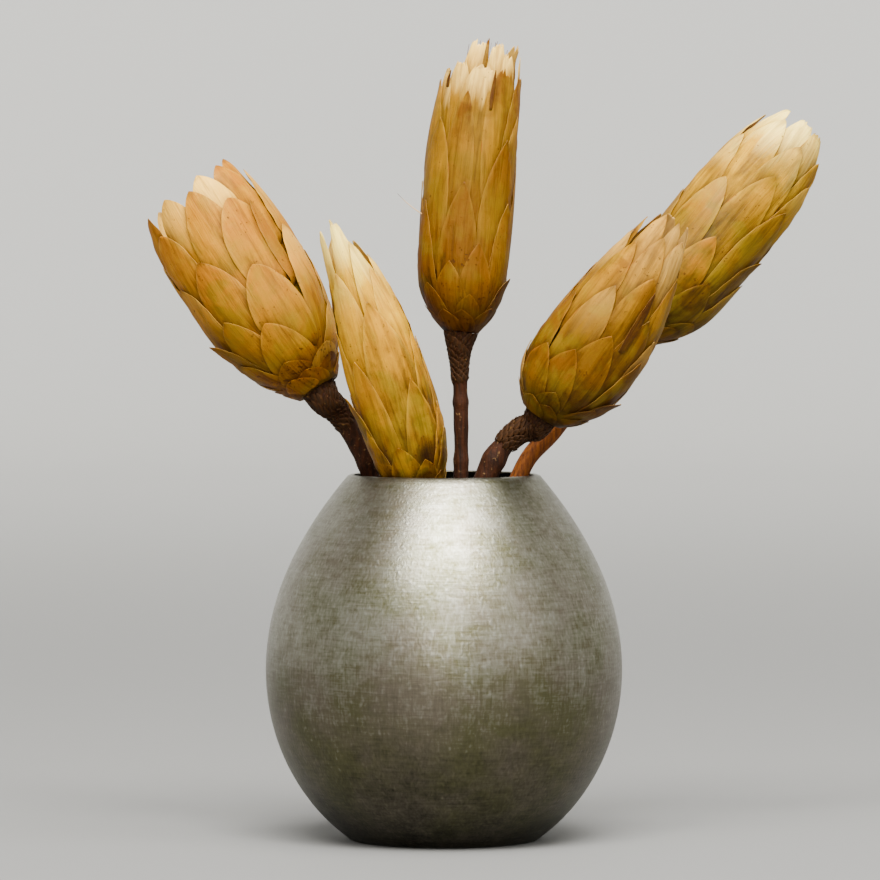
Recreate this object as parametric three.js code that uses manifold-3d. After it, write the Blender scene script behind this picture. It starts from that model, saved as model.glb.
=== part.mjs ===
// Five dried protea flowers standing in an egg-shaped vase of spun metal.
// Millimetres, +Z up. The origin is the centre of the vase's underside, and -Y faces the viewer.
import * as THREE from 'three';
import { mergeVertices } from 'three/addons/utils/BufferGeometryUtils.js';
import Module from 'manifold-3d';

const wasm = await Module();
wasm.setup();

const GAP = 0.3; // clearance between pieces that rest on each other
const GOLDEN_ANGLE = THREE.MathUtils.degToRad(137.508);

// The vase: a half ellipse below its widest ring and a parabola above it.
const VASE = {
  height: 131.8,
  widestRadius: 64.3,
  widestHeight: 61.4,
  lowerSemiAxis: 72,
  upperTaper: 9.4e-5, // share of the radius lost per square millimetre above the widest ring
  wall: 1.6,
  floor: 2.6,
  sides: 40,
  outerRings: 12,
  innerRings: 6,
};

// One flower each: where its head starts and ends, the head's outline, its bracts and its stem.
// profile: radii at the base, the widest place and the tip, where the bowl ends, and two exponents.
// bracts: how many, half the width of one, the height of the lowest tip and the rise from one tip to
// the next (shares of the head's length), the first one's direction, and how sharp the tips are.
// styleTop: how high the florets' styles reach, as a share of the head's length.
// stem: from the vase's floor up to where the neck starts.
const FLOWERS = {
  left: {
    base: [-45.4, 4, 162.6],
    tip: [-92.9, 16, 235.8],
    bow: 0,
    profile: { base: 8.4, widest: 22.8, tip: 18, bowlEnd: 0.56, bowlPower: 2.6, taperPower: 3.2 },
    bracts: { count: 36, halfWidth: 10, firstTip: 0.075, rise: 0.03, phase: 198.9, sharpness: 0.62 },
    styleTop: 0.93,
    neckRadius: 6.2,
    stemRadius: 3.3,
    stem: [[-9.3, 14.8], [-26.6, 9.4, 131.4], [-31.6, 7.6, 142.8], [-38.4, 5.7, 154.4]],
  },
  low: {
    base: [-8, -13.5, 123.6],
    tip: [-38.7, -27, 220.1],
    bow: 1.8,
    profile: { base: 7.6, widest: 14.8, tip: 3.6, bowlEnd: 0.36, bowlPower: 2.8, taperPower: 2.3 },
    bracts: { count: 36, halfWidth: 6.8, firstTip: 0.070, rise: 0.03, phase: 52.9, sharpness: 0.75 },
    styleTop: 0.88,
    neckRadius: 5.6,
    stemRadius: 3.1,
    stem: [[22.2, 1.6], [0.6, -9.6, 98], [-3.6, -11.6, 110]],
  },
  tall: {
    base: [6.1, 4, 183],
    tip: [15.2, 9, 284.9],
    bow: -2.6,
    profile: { base: 6.5, widest: 16.2, tip: 12, bowlEnd: 0.3, bowlPower: 3.3, taperPower: 3.5 },
    bracts: { count: 38, halfWidth: 6.6, firstTip: 0.076, rise: 0.028, phase: 230.4, sharpness: 0.85 },
    styleTop: 1.03,
    neckRadius: 6.1,
    stemRadius: 2.6,
    stem: [[0.6, 4.9], [6.1, 5, 131.4], [6.1, 4.6, 152], [5.6, 4.2, 172]],
  },
  right: {
    base: [34.9, -22, 153.9],
    tip: [81.8, -34, 224],
    bow: 1.6,
    profile: { base: 8.4, widest: 19.2, tip: 6.6, bowlEnd: 0.38, bowlPower: 3.6, taperPower: 1.7 },
    bracts: { count: 34, halfWidth: 7.6, firstTip: 0.058, rise: 0.034, phase: 301.8, sharpness: 0.75 },
    styleTop: 0.88,
    neckRadius: 5.9,
    stemRadius: 4,
    stem: [[-18.8, -16.6], [15.3, -20, 132.4], [21.2, -20.8, 142.8], [28.4, -21.5, 149]],
  },
  rear: {
    base: [69.8, 19, 182.7],
    tip: [132.6, 36, 259.4],
    bow: 0,
    profile: { base: 8, widest: 19.2, tip: 8.4, bowlEnd: 0.45, bowlPower: 4, taperPower: 4 },
    bracts: { count: 34, halfWidth: 8.6, firstTip: 0.068, rise: 0.034, phase: 287.4, sharpness: 0.7 },
    styleTop: 0.93,
    neckRadius: 6.2,
    stemRadius: 3.2,
    stem: [[12.5, -19.1], [27.4, 1.4, 131.6], [40.8, 6.5, 148.6], [60.6, 15, 172.2]],
  },
};

// How bracts are laid over each other, the same on every head.
const LAYER = 0.25; // how much deeper each bract lies than the one before it
const BRACT_THICKNESS = 0.8; // along its middle; its edges are thin
const BRACT_REACH = 9; // a bract lies free down to where the bract this many before it ends
const ROOT_CLEARANCE = 0.3; // how far its inner face is off the cup there
const ROOT_DEPTH = 1; // from there it turns in and is sunk this far into the cup
const ROOT_LENGTH = 2.5; // over this length
const WIDEST_ANGLE = 0.48; // the most that half a bract spans, in radians
const TIGHTEST_BEND = 3; // the least radius that a bract is bent round
const BRACT_STATIONS = [0, 0.45, 0.8, 1]; // its rows, as shares of its free length
const BRACT_OUTLINE = {
  widestAt: 0.45, // as a share of its free length
  rootWidth: 0.75, // as a share of its width
  tipWidth: 0.14,
  tipPower: 2.4,
  firstWidth: 0.72, // the first bracts, at the base, are smaller
  fullWidthFrom: 9, // counted from the first
};
const CURL = { least: 0.3, most: 1.6, from: 0.6 }; // how far tips curl out, and from where on

// The cup that the bracts grow from. Its heights are shares of the head's length.
const CUP = {
  inset: 3.2, // millimetres inside the head's outline, reached at fullInsetAt
  insetAtBase: 0.2,
  fullInsetAt: 0.3,
  wall: 1.8, // millimetres
  sides: 12,
  outerRings: [0, 0.05, 0.13, 0.26, 0.45, 0.8],
  innerRings: [0.8, 0.55, 0.3],
  lowestRoot: 0.03, // bracts grow from here up
  highestRoot: 0.77,
};

// The florets inside the cup: a tapered core with stiff styles standing out of it.
const FLORETS = {
  clearance: 1.2, // to the cup's wall
  leastRadius: 1.2,
  coreRings: [0.3, 0.5, 0.7],
  coreTip: 0.04,
  styleRoot: 0.64,
  styleScatter: 0.05,
  styleRadius: 0.55,
  styles: 14,
  sides: 8,
};

const STEM_SIDES = 9;
const STEM_STATIONS = 15;
const STEM_CROWDING = 1.9; // its rows lie closer together towards the neck
const STEM_SWELL = 0.06; // leaf nodes make it slightly uneven
const NECK = {
  length: 8, // it narrows to the stem over about this length
  power: 1.4,
  straight: 5, // its last stretch runs along the head's axis
  scaled: 21, // scales cover this length
  relief: 0.07, // how far they stand out, as a share of the neck's radius
};

const MATERIALS = {
  metal: new THREE.MeshStandardMaterial({ color: 0x8a867b, roughness: 0.42, metalness: 0.85 }),
  bract: new THREE.MeshStandardMaterial({ color: 0xc9953c, roughness: 0.6 }),
  florets: new THREE.MeshStandardMaterial({ color: 0xe0d2b0, roughness: 0.85 }),
  bark: new THREE.MeshStandardMaterial({ color: 0x4a2f20, roughness: 0.85 }),
  paleBark: new THREE.MeshStandardMaterial({ color: 0x9a6236, roughness: 0.75 }),
};

// A repeatable number from 0 to 1 for each pair of whole numbers.
function scatter(a, b) {
  const value = Math.sin(a * 12.9898 + b * 78.233) * 43758.5453;
  return value - Math.floor(value);
}

function solidOf(geometry) {
  const bare = geometry.clone();
  bare.deleteAttribute('normal');
  bare.deleteAttribute('uv');
  const merged = mergeVertices(bare, 1e-4);
  const triVerts = new Uint32Array(merged.index.array);
  return new wasm.Manifold(
    new wasm.Mesh({ numProp: 3, vertProperties: merged.attributes.position.array, triVerts }),
  );
}

function geometryOf(solid) {
  const mesh = solid.getMesh();
  const geometry = new THREE.BufferGeometry();
  geometry.setAttribute('position', new THREE.BufferAttribute(mesh.vertProperties, 3));
  geometry.setIndex(new THREE.BufferAttribute(mesh.triVerts, 1));
  return geometry;
}

// Joins solids and keeps the largest closed surface, so loose scraps and sealed hollows are left out.
function joined(solids) {
  const whole = solids.reduce((sum, solid) => sum.add(solid));
  return largestShell(mergeVertices(geometryOf(whole), 1e-5));
}

function largestShell(geometry) {
  const position = geometry.attributes.position;
  const index = geometry.index.array;
  const parent = Array.from({ length: position.count }, (_, vertex) => vertex);
  const rootOf = (vertex) => {
    let top = vertex;
    while (parent[top] !== top) top = parent[top];
    parent[vertex] = top;
    return top;
  };
  for (let i = 0; i < index.length; i += 3) {
    parent[rootOf(index[i + 1])] = rootOf(index[i]);
    parent[rootOf(index[i + 2])] = rootOf(index[i]);
  }
  const shells = new Map();
  const [a, b, c] = [new THREE.Vector3(), new THREE.Vector3(), new THREE.Vector3()];
  for (let i = 0; i < index.length; i += 3) {
    const shell = shells.get(rootOf(index[i])) ?? { volume: 0, index: [] };
    a.fromBufferAttribute(position, index[i]);
    b.fromBufferAttribute(position, index[i + 1]);
    c.fromBufferAttribute(position, index[i + 2]);
    shell.volume += a.dot(b.cross(c)) / 6;
    shell.index.push(index[i], index[i + 1], index[i + 2]);
    shells.set(rootOf(index[i]), shell);
  }
  const largest = [...shells.values()].reduce((most, shell) => (shell.volume > most.volume ? shell : most));
  geometry.setIndex(largest.index);
  geometry.computeVertexNormals();
  return geometry;
}

// A closed solid of revolution about +Z from [radius, height] pairs that start and end on the axis.
function turned(outline, sides) {
  const geometry = new THREE.LatheGeometry(outline.map(([r, z]) => new THREE.Vector2(r, z)), sides);
  return geometry.rotateX(Math.PI / 2);
}

// A closed blade with one ring of four points a row: left edge, outer middle, right edge, inner middle.
// Both faces are split into triangles alike.
function blade(rings) {
  const index = [];
  for (let row = 0; row < rings.length - 1; row++) {
    const [left, outer, right, inner] = [0, 1, 2, 3].map((corner) => row * 4 + corner);
    index.push(left, outer, outer + 4, left, outer + 4, left + 4);
    index.push(outer, right, outer + 4, right, right + 4, outer + 4);
    index.push(right, inner, inner + 4, right, inner + 4, right + 4);
    index.push(inner, left, inner + 4, left, left + 4, inner + 4);
  }
  const end = (rings.length - 1) * 4;
  index.push(1, 0, 3, 1, 3, 2, end, end + 1, end + 3, end + 1, end + 2, end + 3);
  const geometry = new THREE.BufferGeometry();
  geometry.setAttribute('position', new THREE.Float32BufferAttribute(rings.flat(2), 3));
  geometry.setIndex(index);
  return geometry;
}

// The vase

function vaseRadius(height) {
  const rise = height - VASE.widestHeight;
  if (rise < 0) return VASE.widestRadius * Math.sqrt(1 - (rise / VASE.lowerSemiAxis) ** 2);
  return VASE.widestRadius * (1 - VASE.upperTaper * rise ** 2);
}

// The wall's inner face lies one wall thickness in along the outline's normal.
function vaseInnerRadius(height) {
  const step = 0.5;
  const slope = (vaseRadius(height + step) - vaseRadius(height - step)) / (2 * step);
  return vaseRadius(height) - VASE.wall * Math.hypot(1, slope);
}

function vase() {
  const outline = [[0, 0]];
  for (let ring = 0; ring <= VASE.outerRings; ring++) {
    const height = (VASE.height * ring) / VASE.outerRings;
    outline.push([vaseRadius(height), height]);
  }
  for (let ring = VASE.innerRings; ring >= 0; ring--) {
    const height = VASE.floor + ((VASE.height - VASE.floor) * ring) / VASE.innerRings;
    outline.push([vaseInnerRadius(height), height]);
  }
  outline.push([0, VASE.floor]);
  return turned(outline, VASE.sides);
}

// A flower head, along its own +Z from its base, with -Y towards the viewer

function headLength(flower) {
  return new THREE.Vector3(...flower.base).distanceTo(new THREE.Vector3(...flower.tip));
}

function headRadius({ profile }, t) {
  if (t < profile.bowlEnd) {
    const bowl = 1 - (1 - Math.max(t, 0) / profile.bowlEnd) ** profile.bowlPower;
    return profile.base + (profile.widest - profile.base) * bowl;
  }
  const taper = ((t - profile.bowlEnd) / (1 - profile.bowlEnd)) ** profile.taperPower;
  return profile.widest - (profile.widest - profile.tip) * taper;
}

// The cup's surface lies this far inside the head's outline.
function cupInset(t) {
  return CUP.insetAtBase + (CUP.inset - CUP.insetAtBase) * Math.min(1, t / CUP.fullInsetAt);
}

// The number of the bract whose tip is at height t, so how many bracts end below it.
function tipNumber({ bracts }, t) {
  return Math.max(0, (t - bracts.firstTip) / bracts.rise);
}

function bractTip({ bracts }, number) {
  const jitter = (scatter(number, bracts.count) - 0.5) * bracts.rise;
  return Math.min(bracts.firstTip + bracts.rise * number, 1) + jitter;
}

// How far a bract lies inside the head's outline at height t: each one dives under those before it.
function bractDepth(flower, number, t) {
  return Math.max(0, LAYER * (number - tipNumber(flower, t)));
}

// Where a bract turns in to the cup: where it would touch it, or well under the bracts before it.
function bractTurn(flower, number) {
  const step = 0.004;
  const lowest = flower.bracts.firstTip + flower.bracts.rise * (number - BRACT_REACH);
  const free = (t) => bractDepth(flower, number, t) < cupInset(t) - BRACT_THICKNESS - ROOT_CLEARANCE;
  let t = Math.min(bractTip(flower, number), CUP.highestRoot);
  while (t > Math.max(lowest, CUP.lowestRoot) && free(t)) t -= step;
  return t;
}

// A bract's half-width along its free length: it widens from the root and closes to a tip.
function bractHalfWidth({ bracts }, number, u) {
  const { widestAt, rootWidth, tipWidth, tipPower, firstWidth, fullWidthFrom } = BRACT_OUTLINE;
  const grown = Math.min(1, number / fullWidthFrom);
  const size = bracts.halfWidth * (firstWidth + (1 - firstWidth) * grown);
  if (u < widestAt) return size * (rootWidth + (1 - rootWidth) * Math.sin(((Math.PI / 2) * u) / widestAt));
  const beyond = (u - widestAt) / (1 - widestAt);
  return size * Math.max(tipWidth, (1 - beyond ** tipPower) ** bracts.sharpness);
}

// How far a bract curls away from the head towards its tip, by chance more on some than on others.
function bractCurl(number, u) {
  const tip = CURL.least + (CURL.most - CURL.least) * scatter(number, 7) ** 3;
  return tip * Math.max(0, (u - CURL.from) / (1 - CURL.from)) ** 2;
}

// How far the head's axis bows to the viewer's right at height t.
function bowAt(flower, t) {
  return flower.bow * 4 * t * (1 - t);
}

function onHead(flower, length, t, direction, radius) {
  const across = radius * Math.sin(direction) + bowAt(flower, t);
  return [across, -radius * Math.cos(direction), t * length];
}

function bract(flower, number) {
  const length = headLength(flower);
  const turn = bractTurn(flower, number);
  const root = Math.max(turn - ROOT_LENGTH / length, CUP.lowestRoot / 2);
  const tip = bractTip(flower, number);
  const direction = THREE.MathUtils.degToRad(flower.bracts.phase) + number * GOLDEN_ANGLE;
  const ring = (t, depth, along) => {
    const radius = headRadius(flower, Math.min(t, 1)) - depth;
    const bend = Math.max(radius, TIGHTEST_BEND);
    const half = Math.min(bractHalfWidth(flower, number, along) / bend, WIDEST_ANGLE);
    const point = (turned, inward) => onHead(flower, length, t, direction + turned, radius - inward);
    return [point(-half, 0), point(0, 0), point(half, 0), point(0, BRACT_THICKNESS)];
  };
  const rings = BRACT_STATIONS.map((u) => {
    const t = turn + (tip - turn) * u;
    return ring(t, bractDepth(flower, number, t) - bractCurl(number, u), u);
  });
  return blade([ring(root, cupInset(root) + ROOT_DEPTH, 0), ...rings]);
}

function cup(flower) {
  const length = headLength(flower);
  const outline = [[0, 0]];
  for (const t of CUP.outerRings) outline.push([headRadius(flower, t) - cupInset(t), t * length]);
  for (const t of CUP.innerRings) outline.push([headRadius(flower, t) - CUP.inset - CUP.wall, t * length]);
  outline.push([0, CUP.innerRings.at(-1) * length]);
  return bent(flower, turned(outline, CUP.sides));
}

// Moves a straight geometry onto the head's slightly bowed axis.
function bent(flower, geometry) {
  const length = headLength(flower);
  const position = geometry.attributes.position;
  for (let i = 0; i < position.count; i++) {
    const t = position.getZ(i) / length;
    position.setX(i, position.getX(i) + bowAt(flower, t));
  }
  return geometry;
}

function head(flower) {
  const solids = [solidOf(cup(flower))];
  for (let number = 0; number < flower.bracts.count; number++) solids.push(solidOf(bract(flower, number)));
  return joined(solids);
}

function florets(flower) {
  const length = headLength(flower);
  const { coreRings, leastRadius, clearance } = FLORETS;
  const room = (t) => Math.max(headRadius(flower, t) - CUP.inset - CUP.wall - clearance, leastRadius);
  const floor = CUP.innerRings.at(-1) * length + GAP;
  const outline = [[0, floor], ...coreRings.map((t) => [room(t), Math.max(t * length, floor)])];
  outline.push([0, (coreRings.at(-1) + FLORETS.coreTip) * length]);
  const solids = [solidOf(bent(flower, turned(outline, FLORETS.sides)))];
  const reach = room(flower.styleTop) - FLORETS.styleRadius;
  for (let number = 0; number < FLORETS.styles; number++) {
    const top = (flower.styleTop - FLORETS.styleScatter * scatter(number, 3)) * length;
    const spread = Math.sqrt((number + 0.5) / FLORETS.styles) * reach;
    solids.push(solidOf(bent(flower, style(number * GOLDEN_ANGLE, spread, FLORETS.styleRoot * length, top))));
  }
  return joined(solids);
}

function style(direction, spread, bottom, top) {
  const radius = FLORETS.styleRadius;
  const spike = new THREE.CylinderGeometry(radius / 2, radius, top - bottom, 3);
  spike.rotateX(Math.PI / 2);
  return spike.translate(spread * Math.sin(direction), -spread * Math.cos(direction), (top + bottom) / 2);
}

// The stem, from the vase's floor to the head's base

function stem(flower) {
  const [foot, ...middle] = flower.stem;
  const base = new THREE.Vector3(...flower.base);
  const up = new THREE.Vector3(...flower.tip).sub(base).normalize();
  const top = base.clone().addScaledVector(up, -GAP);
  const points = [[...foot, 0], ...middle].map((p) => new THREE.Vector3(...p));
  const lean = points[1].clone().sub(points[0]).normalize();
  points[0].z = VASE.floor + GAP + flower.stemRadius * Math.hypot(lean.x, lean.y);
  points.push(top.clone().addScaledVector(up, -NECK.straight), top);
  const curve = new THREE.CatmullRomCurve3(points, false, 'centripetal');
  return tapered(curve, flower);
}

// A closed tube with rows at chosen places of the curve, closer together where the neck's scales are.
function tapered(curve, flower) {
  const length = curve.getLength();
  const rows = [];
  for (let i = 0; i <= STEM_STATIONS; i++) rows.push(1 - (1 - i / STEM_STATIONS) ** STEM_CROWDING);
  const radii = rows.map((at, row) => {
    const below = (1 - at) * length;
    const flare = Math.exp(-((below / NECK.length) ** NECK.power));
    const swell = 1 + STEM_SWELL * (scatter(row, flower.bracts.count) - 0.5);
    return flower.stemRadius * swell * (1 - flare) + flower.neckRadius * flare;
  });
  const outline = [[0, 0], ...radii.map((r, row) => [r, row]), [0, STEM_STATIONS]];
  const geometry = turned(outline, STEM_SIDES);
  const frames = framesAlong(curve, rows);
  const position = geometry.attributes.position;
  const spot = new THREE.Vector3();
  for (let i = 0; i < position.count; i++) {
    const row = Math.round(position.getZ(i));
    const turn = Math.atan2(position.getY(i), position.getX(i));
    const side = Math.round((turn / (2 * Math.PI)) * STEM_SIDES);
    const onNeck = row < STEM_STATIONS && (1 - rows[row]) * length < NECK.scaled;
    const relief = onNeck ? 1 + NECK.relief * ((row + Math.abs(side)) % 2 ? 1 : -1) : 1;
    spot.copy(frames[row].point);
    spot.addScaledVector(frames[row].across, position.getX(i) * relief);
    spot.addScaledVector(frames[row].deep, position.getY(i) * relief);
    position.setXYZ(i, spot.x, spot.y, spot.z);
  }
  return geometry;
}

// Untwisted cross-section axes at each row of a curve.
function framesAlong(curve, rows) {
  let across = new THREE.Vector3(1, 0, 0);
  return rows.map((at) => {
    const point = curve.getPointAt(at);
    const along = curve.getTangentAt(at);
    across = across.clone().addScaledVector(along, -across.dot(along)).normalize();
    return { point, across, deep: new THREE.Vector3().crossVectors(along, across) };
  });
}

// The whole object

function placedOnHead(mesh, flower) {
  const base = new THREE.Vector3(...flower.base);
  const along = new THREE.Vector3(...flower.tip).sub(base).normalize();
  const away = new THREE.Vector3(0, 1, 0).addScaledVector(along, -along.y).normalize();
  const across = new THREE.Vector3().crossVectors(away, along);
  mesh.quaternion.setFromRotationMatrix(new THREE.Matrix4().makeBasis(across, away, along));
  mesh.position.copy(base);
  return mesh;
}

function named(name, geometry, material) {
  const mesh = new THREE.Mesh(geometry, material);
  mesh.name = name;
  return mesh;
}

const arrangement = new THREE.Group();
arrangement.add(named('vase', vase(), MATERIALS.metal));
for (const [place, flower] of Object.entries(FLOWERS)) {
  const bark = place === 'rear' ? MATERIALS.paleBark : MATERIALS.bark;
  arrangement.add(named(`stem_${place}`, stem(flower), bark));
  arrangement.add(placedOnHead(named(`bracts_${place}`, head(flower), MATERIALS.bract), flower));
  arrangement.add(placedOnHead(named(`florets_${place}`, florets(flower), MATERIALS.florets), flower));
}

export default arrangement;
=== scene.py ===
"""Five dried protea flowers standing in an egg-shaped vase of aged, brushed metal.

+Z is up and -Y faces the viewer. Sizes are held in millimetres, as on a drawing, and become metres where
a mesh is made. A flower head is worked out along its own axis: a height is a share of its length, a turn
goes round it from the viewer's side towards the viewer's right.
"""

import logging
import math
from dataclasses import dataclass, field
from enum import Enum
from functools import partial
from typing import Any, Callable, Sequence

import bmesh
import bpy
import numpy as np
from bpy.types import Material, Mesh, NodeSocket, NodeTree, Object
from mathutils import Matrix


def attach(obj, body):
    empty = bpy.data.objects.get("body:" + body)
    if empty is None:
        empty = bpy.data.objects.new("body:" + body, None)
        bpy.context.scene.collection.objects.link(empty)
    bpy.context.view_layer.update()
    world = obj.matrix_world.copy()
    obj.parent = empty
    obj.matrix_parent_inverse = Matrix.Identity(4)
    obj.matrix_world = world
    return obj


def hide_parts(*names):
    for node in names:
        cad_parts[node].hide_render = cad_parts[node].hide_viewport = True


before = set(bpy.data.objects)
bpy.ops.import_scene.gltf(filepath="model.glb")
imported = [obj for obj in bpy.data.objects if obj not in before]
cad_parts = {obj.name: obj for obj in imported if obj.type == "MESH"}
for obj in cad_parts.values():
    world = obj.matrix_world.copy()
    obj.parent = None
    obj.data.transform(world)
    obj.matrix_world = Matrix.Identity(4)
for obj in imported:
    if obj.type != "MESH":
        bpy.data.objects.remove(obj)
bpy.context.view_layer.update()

log = logging.getLogger("protea")

MM = 0.001
GOLDEN_ANGLE = math.radians(137.508)
BODY = "root"
SMOOTH = {"interpolation_type": "SMOOTHSTEP"}

Array = np.ndarray
Faces = list[list[int]]
Point = tuple[float, float, float]
Colour = tuple[float, float, float, float]
Put = Callable[..., NodeSocket]


# Small helpers

def linear(code: str) -> Colour:
    """Turns an sRGB hex colour into linear light.

    Args:
        code: The colour, as "#rrggbb".

    Returns:
        Red, green, blue and an alpha of one.
    """
    channels = [int(code[i : i + 2], 16) / 255 for i in (1, 3, 5)]
    red, green, blue = [c / 12.92 if c <= 0.04045 else ((c + 0.055) / 1.055) ** 2.4 for c in channels]
    return red, green, blue, 1.0


def scatter(first: float, second: float) -> float:
    """Gives a repeatable number from 0 to 1 for each pair of numbers."""
    value = math.sin(first * 12.9898 + second * 78.233) * 43758.5453
    return value - math.floor(value)


def eased(share: Array) -> Array:
    """Goes smoothly from 0 to 1 as the share does, and stays there outside."""
    held = np.clip(share, 0.0, 1.0)
    return held * held * (3.0 - 2.0 * held)


def unit(way: Array) -> Array:
    """Gives a direction, or each row's, at length 1."""
    return way / np.linalg.norm(way, axis=-1, keepdims=True)


def turns(count: int) -> Array:
    """Gives even steps once round, in radians."""
    return np.linspace(0.0, 2 * math.pi, count, endpoint=False)


def gone_along(line: Array) -> Array:
    """Gives how far along a line each of its points lies."""
    return np.concatenate([[0.0], np.cumsum(np.linalg.norm(np.diff(line, axis=0), axis=1))])


def stacked(*parts: Any) -> Array:
    """Spreads numbers and arrays to one shape and stacks them along a new last axis."""
    return np.stack(np.broadcast_arrays(*parts), axis=-1)


def there_and_back(outer: Array, inner: Array) -> Array:
    """Follows each row along a leaf's outer side and back along its inner side."""
    return np.concatenate([outer, inner[:, ::-1]], axis=1)


def ring_faces(rows: int, around: int, closed: bool = False) -> Faces:
    """Joins rings of points into a skin of four-sided faces.

    Args:
        rows: How many rings there are.
        around: How many points each ring has.
        closed: Whether one face closes each end.

    Returns:
        The points of each face.
    """
    faces = []
    last = (rows - 1) * around
    for below in range(0, last, around):
        for spot in range(around):
            after = (spot + 1) % around
            faces.append([below + spot, below + after, below + around + after, below + around + spot])
    if closed:
        faces += [[*reversed(range(around))], [*range(last, last + around)]]
    return faces


def leaf_faces(rows: int, around: int) -> Faces:
    """Joins rings that go along a leaf's one side and back along the other, with a strip over each end.

    Args:
        rows: How many rings there are.
        around: How many points each ring has.

    Returns:
        The points of each face.
    """
    faces = ring_faces(rows, around)
    for start in (0, (rows - 1) * around):
        for spot in range(around // 2 - 1):
            far = around - 1 - spot
            strip = [start + spot, start + spot + 1, start + far - 1, start + far]
            faces.append(strip if start else strip[::-1])
    return faces


def linked(name: str, data: Any) -> Object:
    """Makes an object of a mesh, a lamp or a camera and links it to the scene."""
    made = bpy.data.objects.new(name, data)
    bpy.context.collection.objects.link(made)
    return made


def thread(name: str, line: Array) -> Object:
    """Makes an object of a bare line, given in millimetres, for a tree to sweep or turn."""
    mesh = bpy.data.meshes.new(name)
    mesh.from_pydata((line * MM).tolist(), [(spot, spot + 1) for spot in range(len(line) - 1)], [])
    return linked(name, mesh)


def points_of(mesh: Mesh) -> Array:
    """Gives a mesh's points in millimetres."""
    return np.array([vertex.co[:] for vertex in mesh.vertices]) / MM


def mark(mesh: Mesh, name: str, values: Array) -> None:
    """Writes down one number, or a row of three, for each of a mesh's points."""
    kind, part = ("FLOAT", "value") if values.ndim == 1 else ("FLOAT_VECTOR", "vector")
    mesh.attributes.new(name, kind, "POINT").data.foreach_set(part, values.astype(np.float32).ravel())


def move_points(mesh: Mesh, points: Array) -> None:
    """Moves a mesh's points to new places, given in millimetres."""
    mesh.vertices.foreach_set("co", (points * MM).astype(np.float32).ravel())


@dataclass
class Draft:
    """A mesh while it is made: its points in millimetres, its faces, and the marks that a finish reads."""

    points: list[Array] = field(default_factory=list)
    faces: Faces = field(default_factory=list)
    marks: dict[str, list[Array]] = field(default_factory=dict)
    count: int = 0

    def add(self, points: Array, faces: Faces, **marks: Array) -> None:
        """Adds a closed skin.

        Args:
            points: Its points, three numbers for each.
            faces: The points of each face, counted from this skin's first.
            **marks: For each mark, three numbers for each point.
        """
        self.faces.extend([[corner + self.count for corner in face] for face in faces])
        self.points.append(points.reshape(-1, 3))
        self.count += len(self.points[-1])
        for name, values in marks.items():
            self.marks.setdefault(name, []).append(values.reshape(-1, 3))

    def piece(self, name: str, finish: Material) -> Object:
        """Turns the draft into an object in metres.

        Args:
            name: The object's name.
            finish: The material of all its faces.

        Returns:
            The object, smooth shaded.
        """
        mesh = bpy.data.meshes.new(name)
        mesh.from_pydata((np.concatenate(self.points) * MM).tolist(), [], self.faces)
        for title, parts in self.marks.items():
            mark(mesh, title, np.concatenate(parts))
        mesh.materials.append(finish)
        mesh.shade_smooth()
        return linked(name, mesh)


def turned_faces_out(made: Object) -> Object:
    """Merges an object's doubled points, turns every closed skin's faces outwards, and gives it back."""
    shape = bmesh.new()
    shape.from_mesh(made.data)
    bmesh.ops.remove_doubles(shape, verts=shape.verts, dist=1e-7)
    bmesh.ops.recalc_face_normals(shape, faces=shape.faces)
    shape.to_mesh(made.data)
    shape.free()
    return made


def join_pieces(name: str, pieces: Sequence[Object]) -> Object:
    """Joins several meshes into one object, each with its own materials.

    Args:
        name: The joined object's name.
        pieces: The meshes; they are used up.

    Returns:
        The joined object.
    """
    first, every = pieces[0], list(pieces)
    with bpy.context.temp_override(
        active_object=first, object=first, selected_objects=every, selected_editable_objects=every
    ):
        bpy.ops.object.join()
    first.name = name
    first.data.name = name
    return first


def add_node(
    tree: NodeTree, kind: str, inputs: Any = (), stops: Sequence[tuple[float, str]] = (),
    out: int | str = 0, **settings: Any,
) -> NodeSocket | None:
    """Adds a node with its settings, values and links.

    Args:
        tree: The node tree that gets the node.
        kind: The node's type; ShaderNode may be left off.
        inputs: Values or the sockets that feed them: from the first input on, or by name or place.
        stops: For a colour ramp, the place and hex colour of each stop.
        out: The name or place of the output that is wanted.
        **settings: The node's own properties.

    Returns:
        That output, or None where a tree ends.
    """
    node = tree.nodes.new(kind if "Node" in kind else f"ShaderNode{kind}")
    for name, value in settings.items():
        setattr(node, name, value)
    for name, value in inputs.items() if isinstance(inputs, dict) else enumerate(inputs):
        if isinstance(value, NodeSocket):
            tree.links.new(value, node.inputs[name])
        else:
            node.inputs[name].default_value = value
    for number, (place, code) in enumerate(stops):
        if number >= len(node.color_ramp.elements):
            node.color_ramp.elements.new(place)
        node.color_ramp.elements[number].position = place
        node.color_ramp.elements[number].color = linear(code)
    return node.outputs[out] if node.outputs else None


def blank_material(name: str) -> tuple[Material, Put]:
    """Makes a material with an empty node tree.

    Args:
        name: What the real material is.

    Returns:
        The material, and what adds a node to it.
    """
    material = bpy.data.materials.new(name)
    material.use_nodes = True
    material.node_tree.nodes.clear()
    return material, partial(add_node, material.node_tree)


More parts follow.
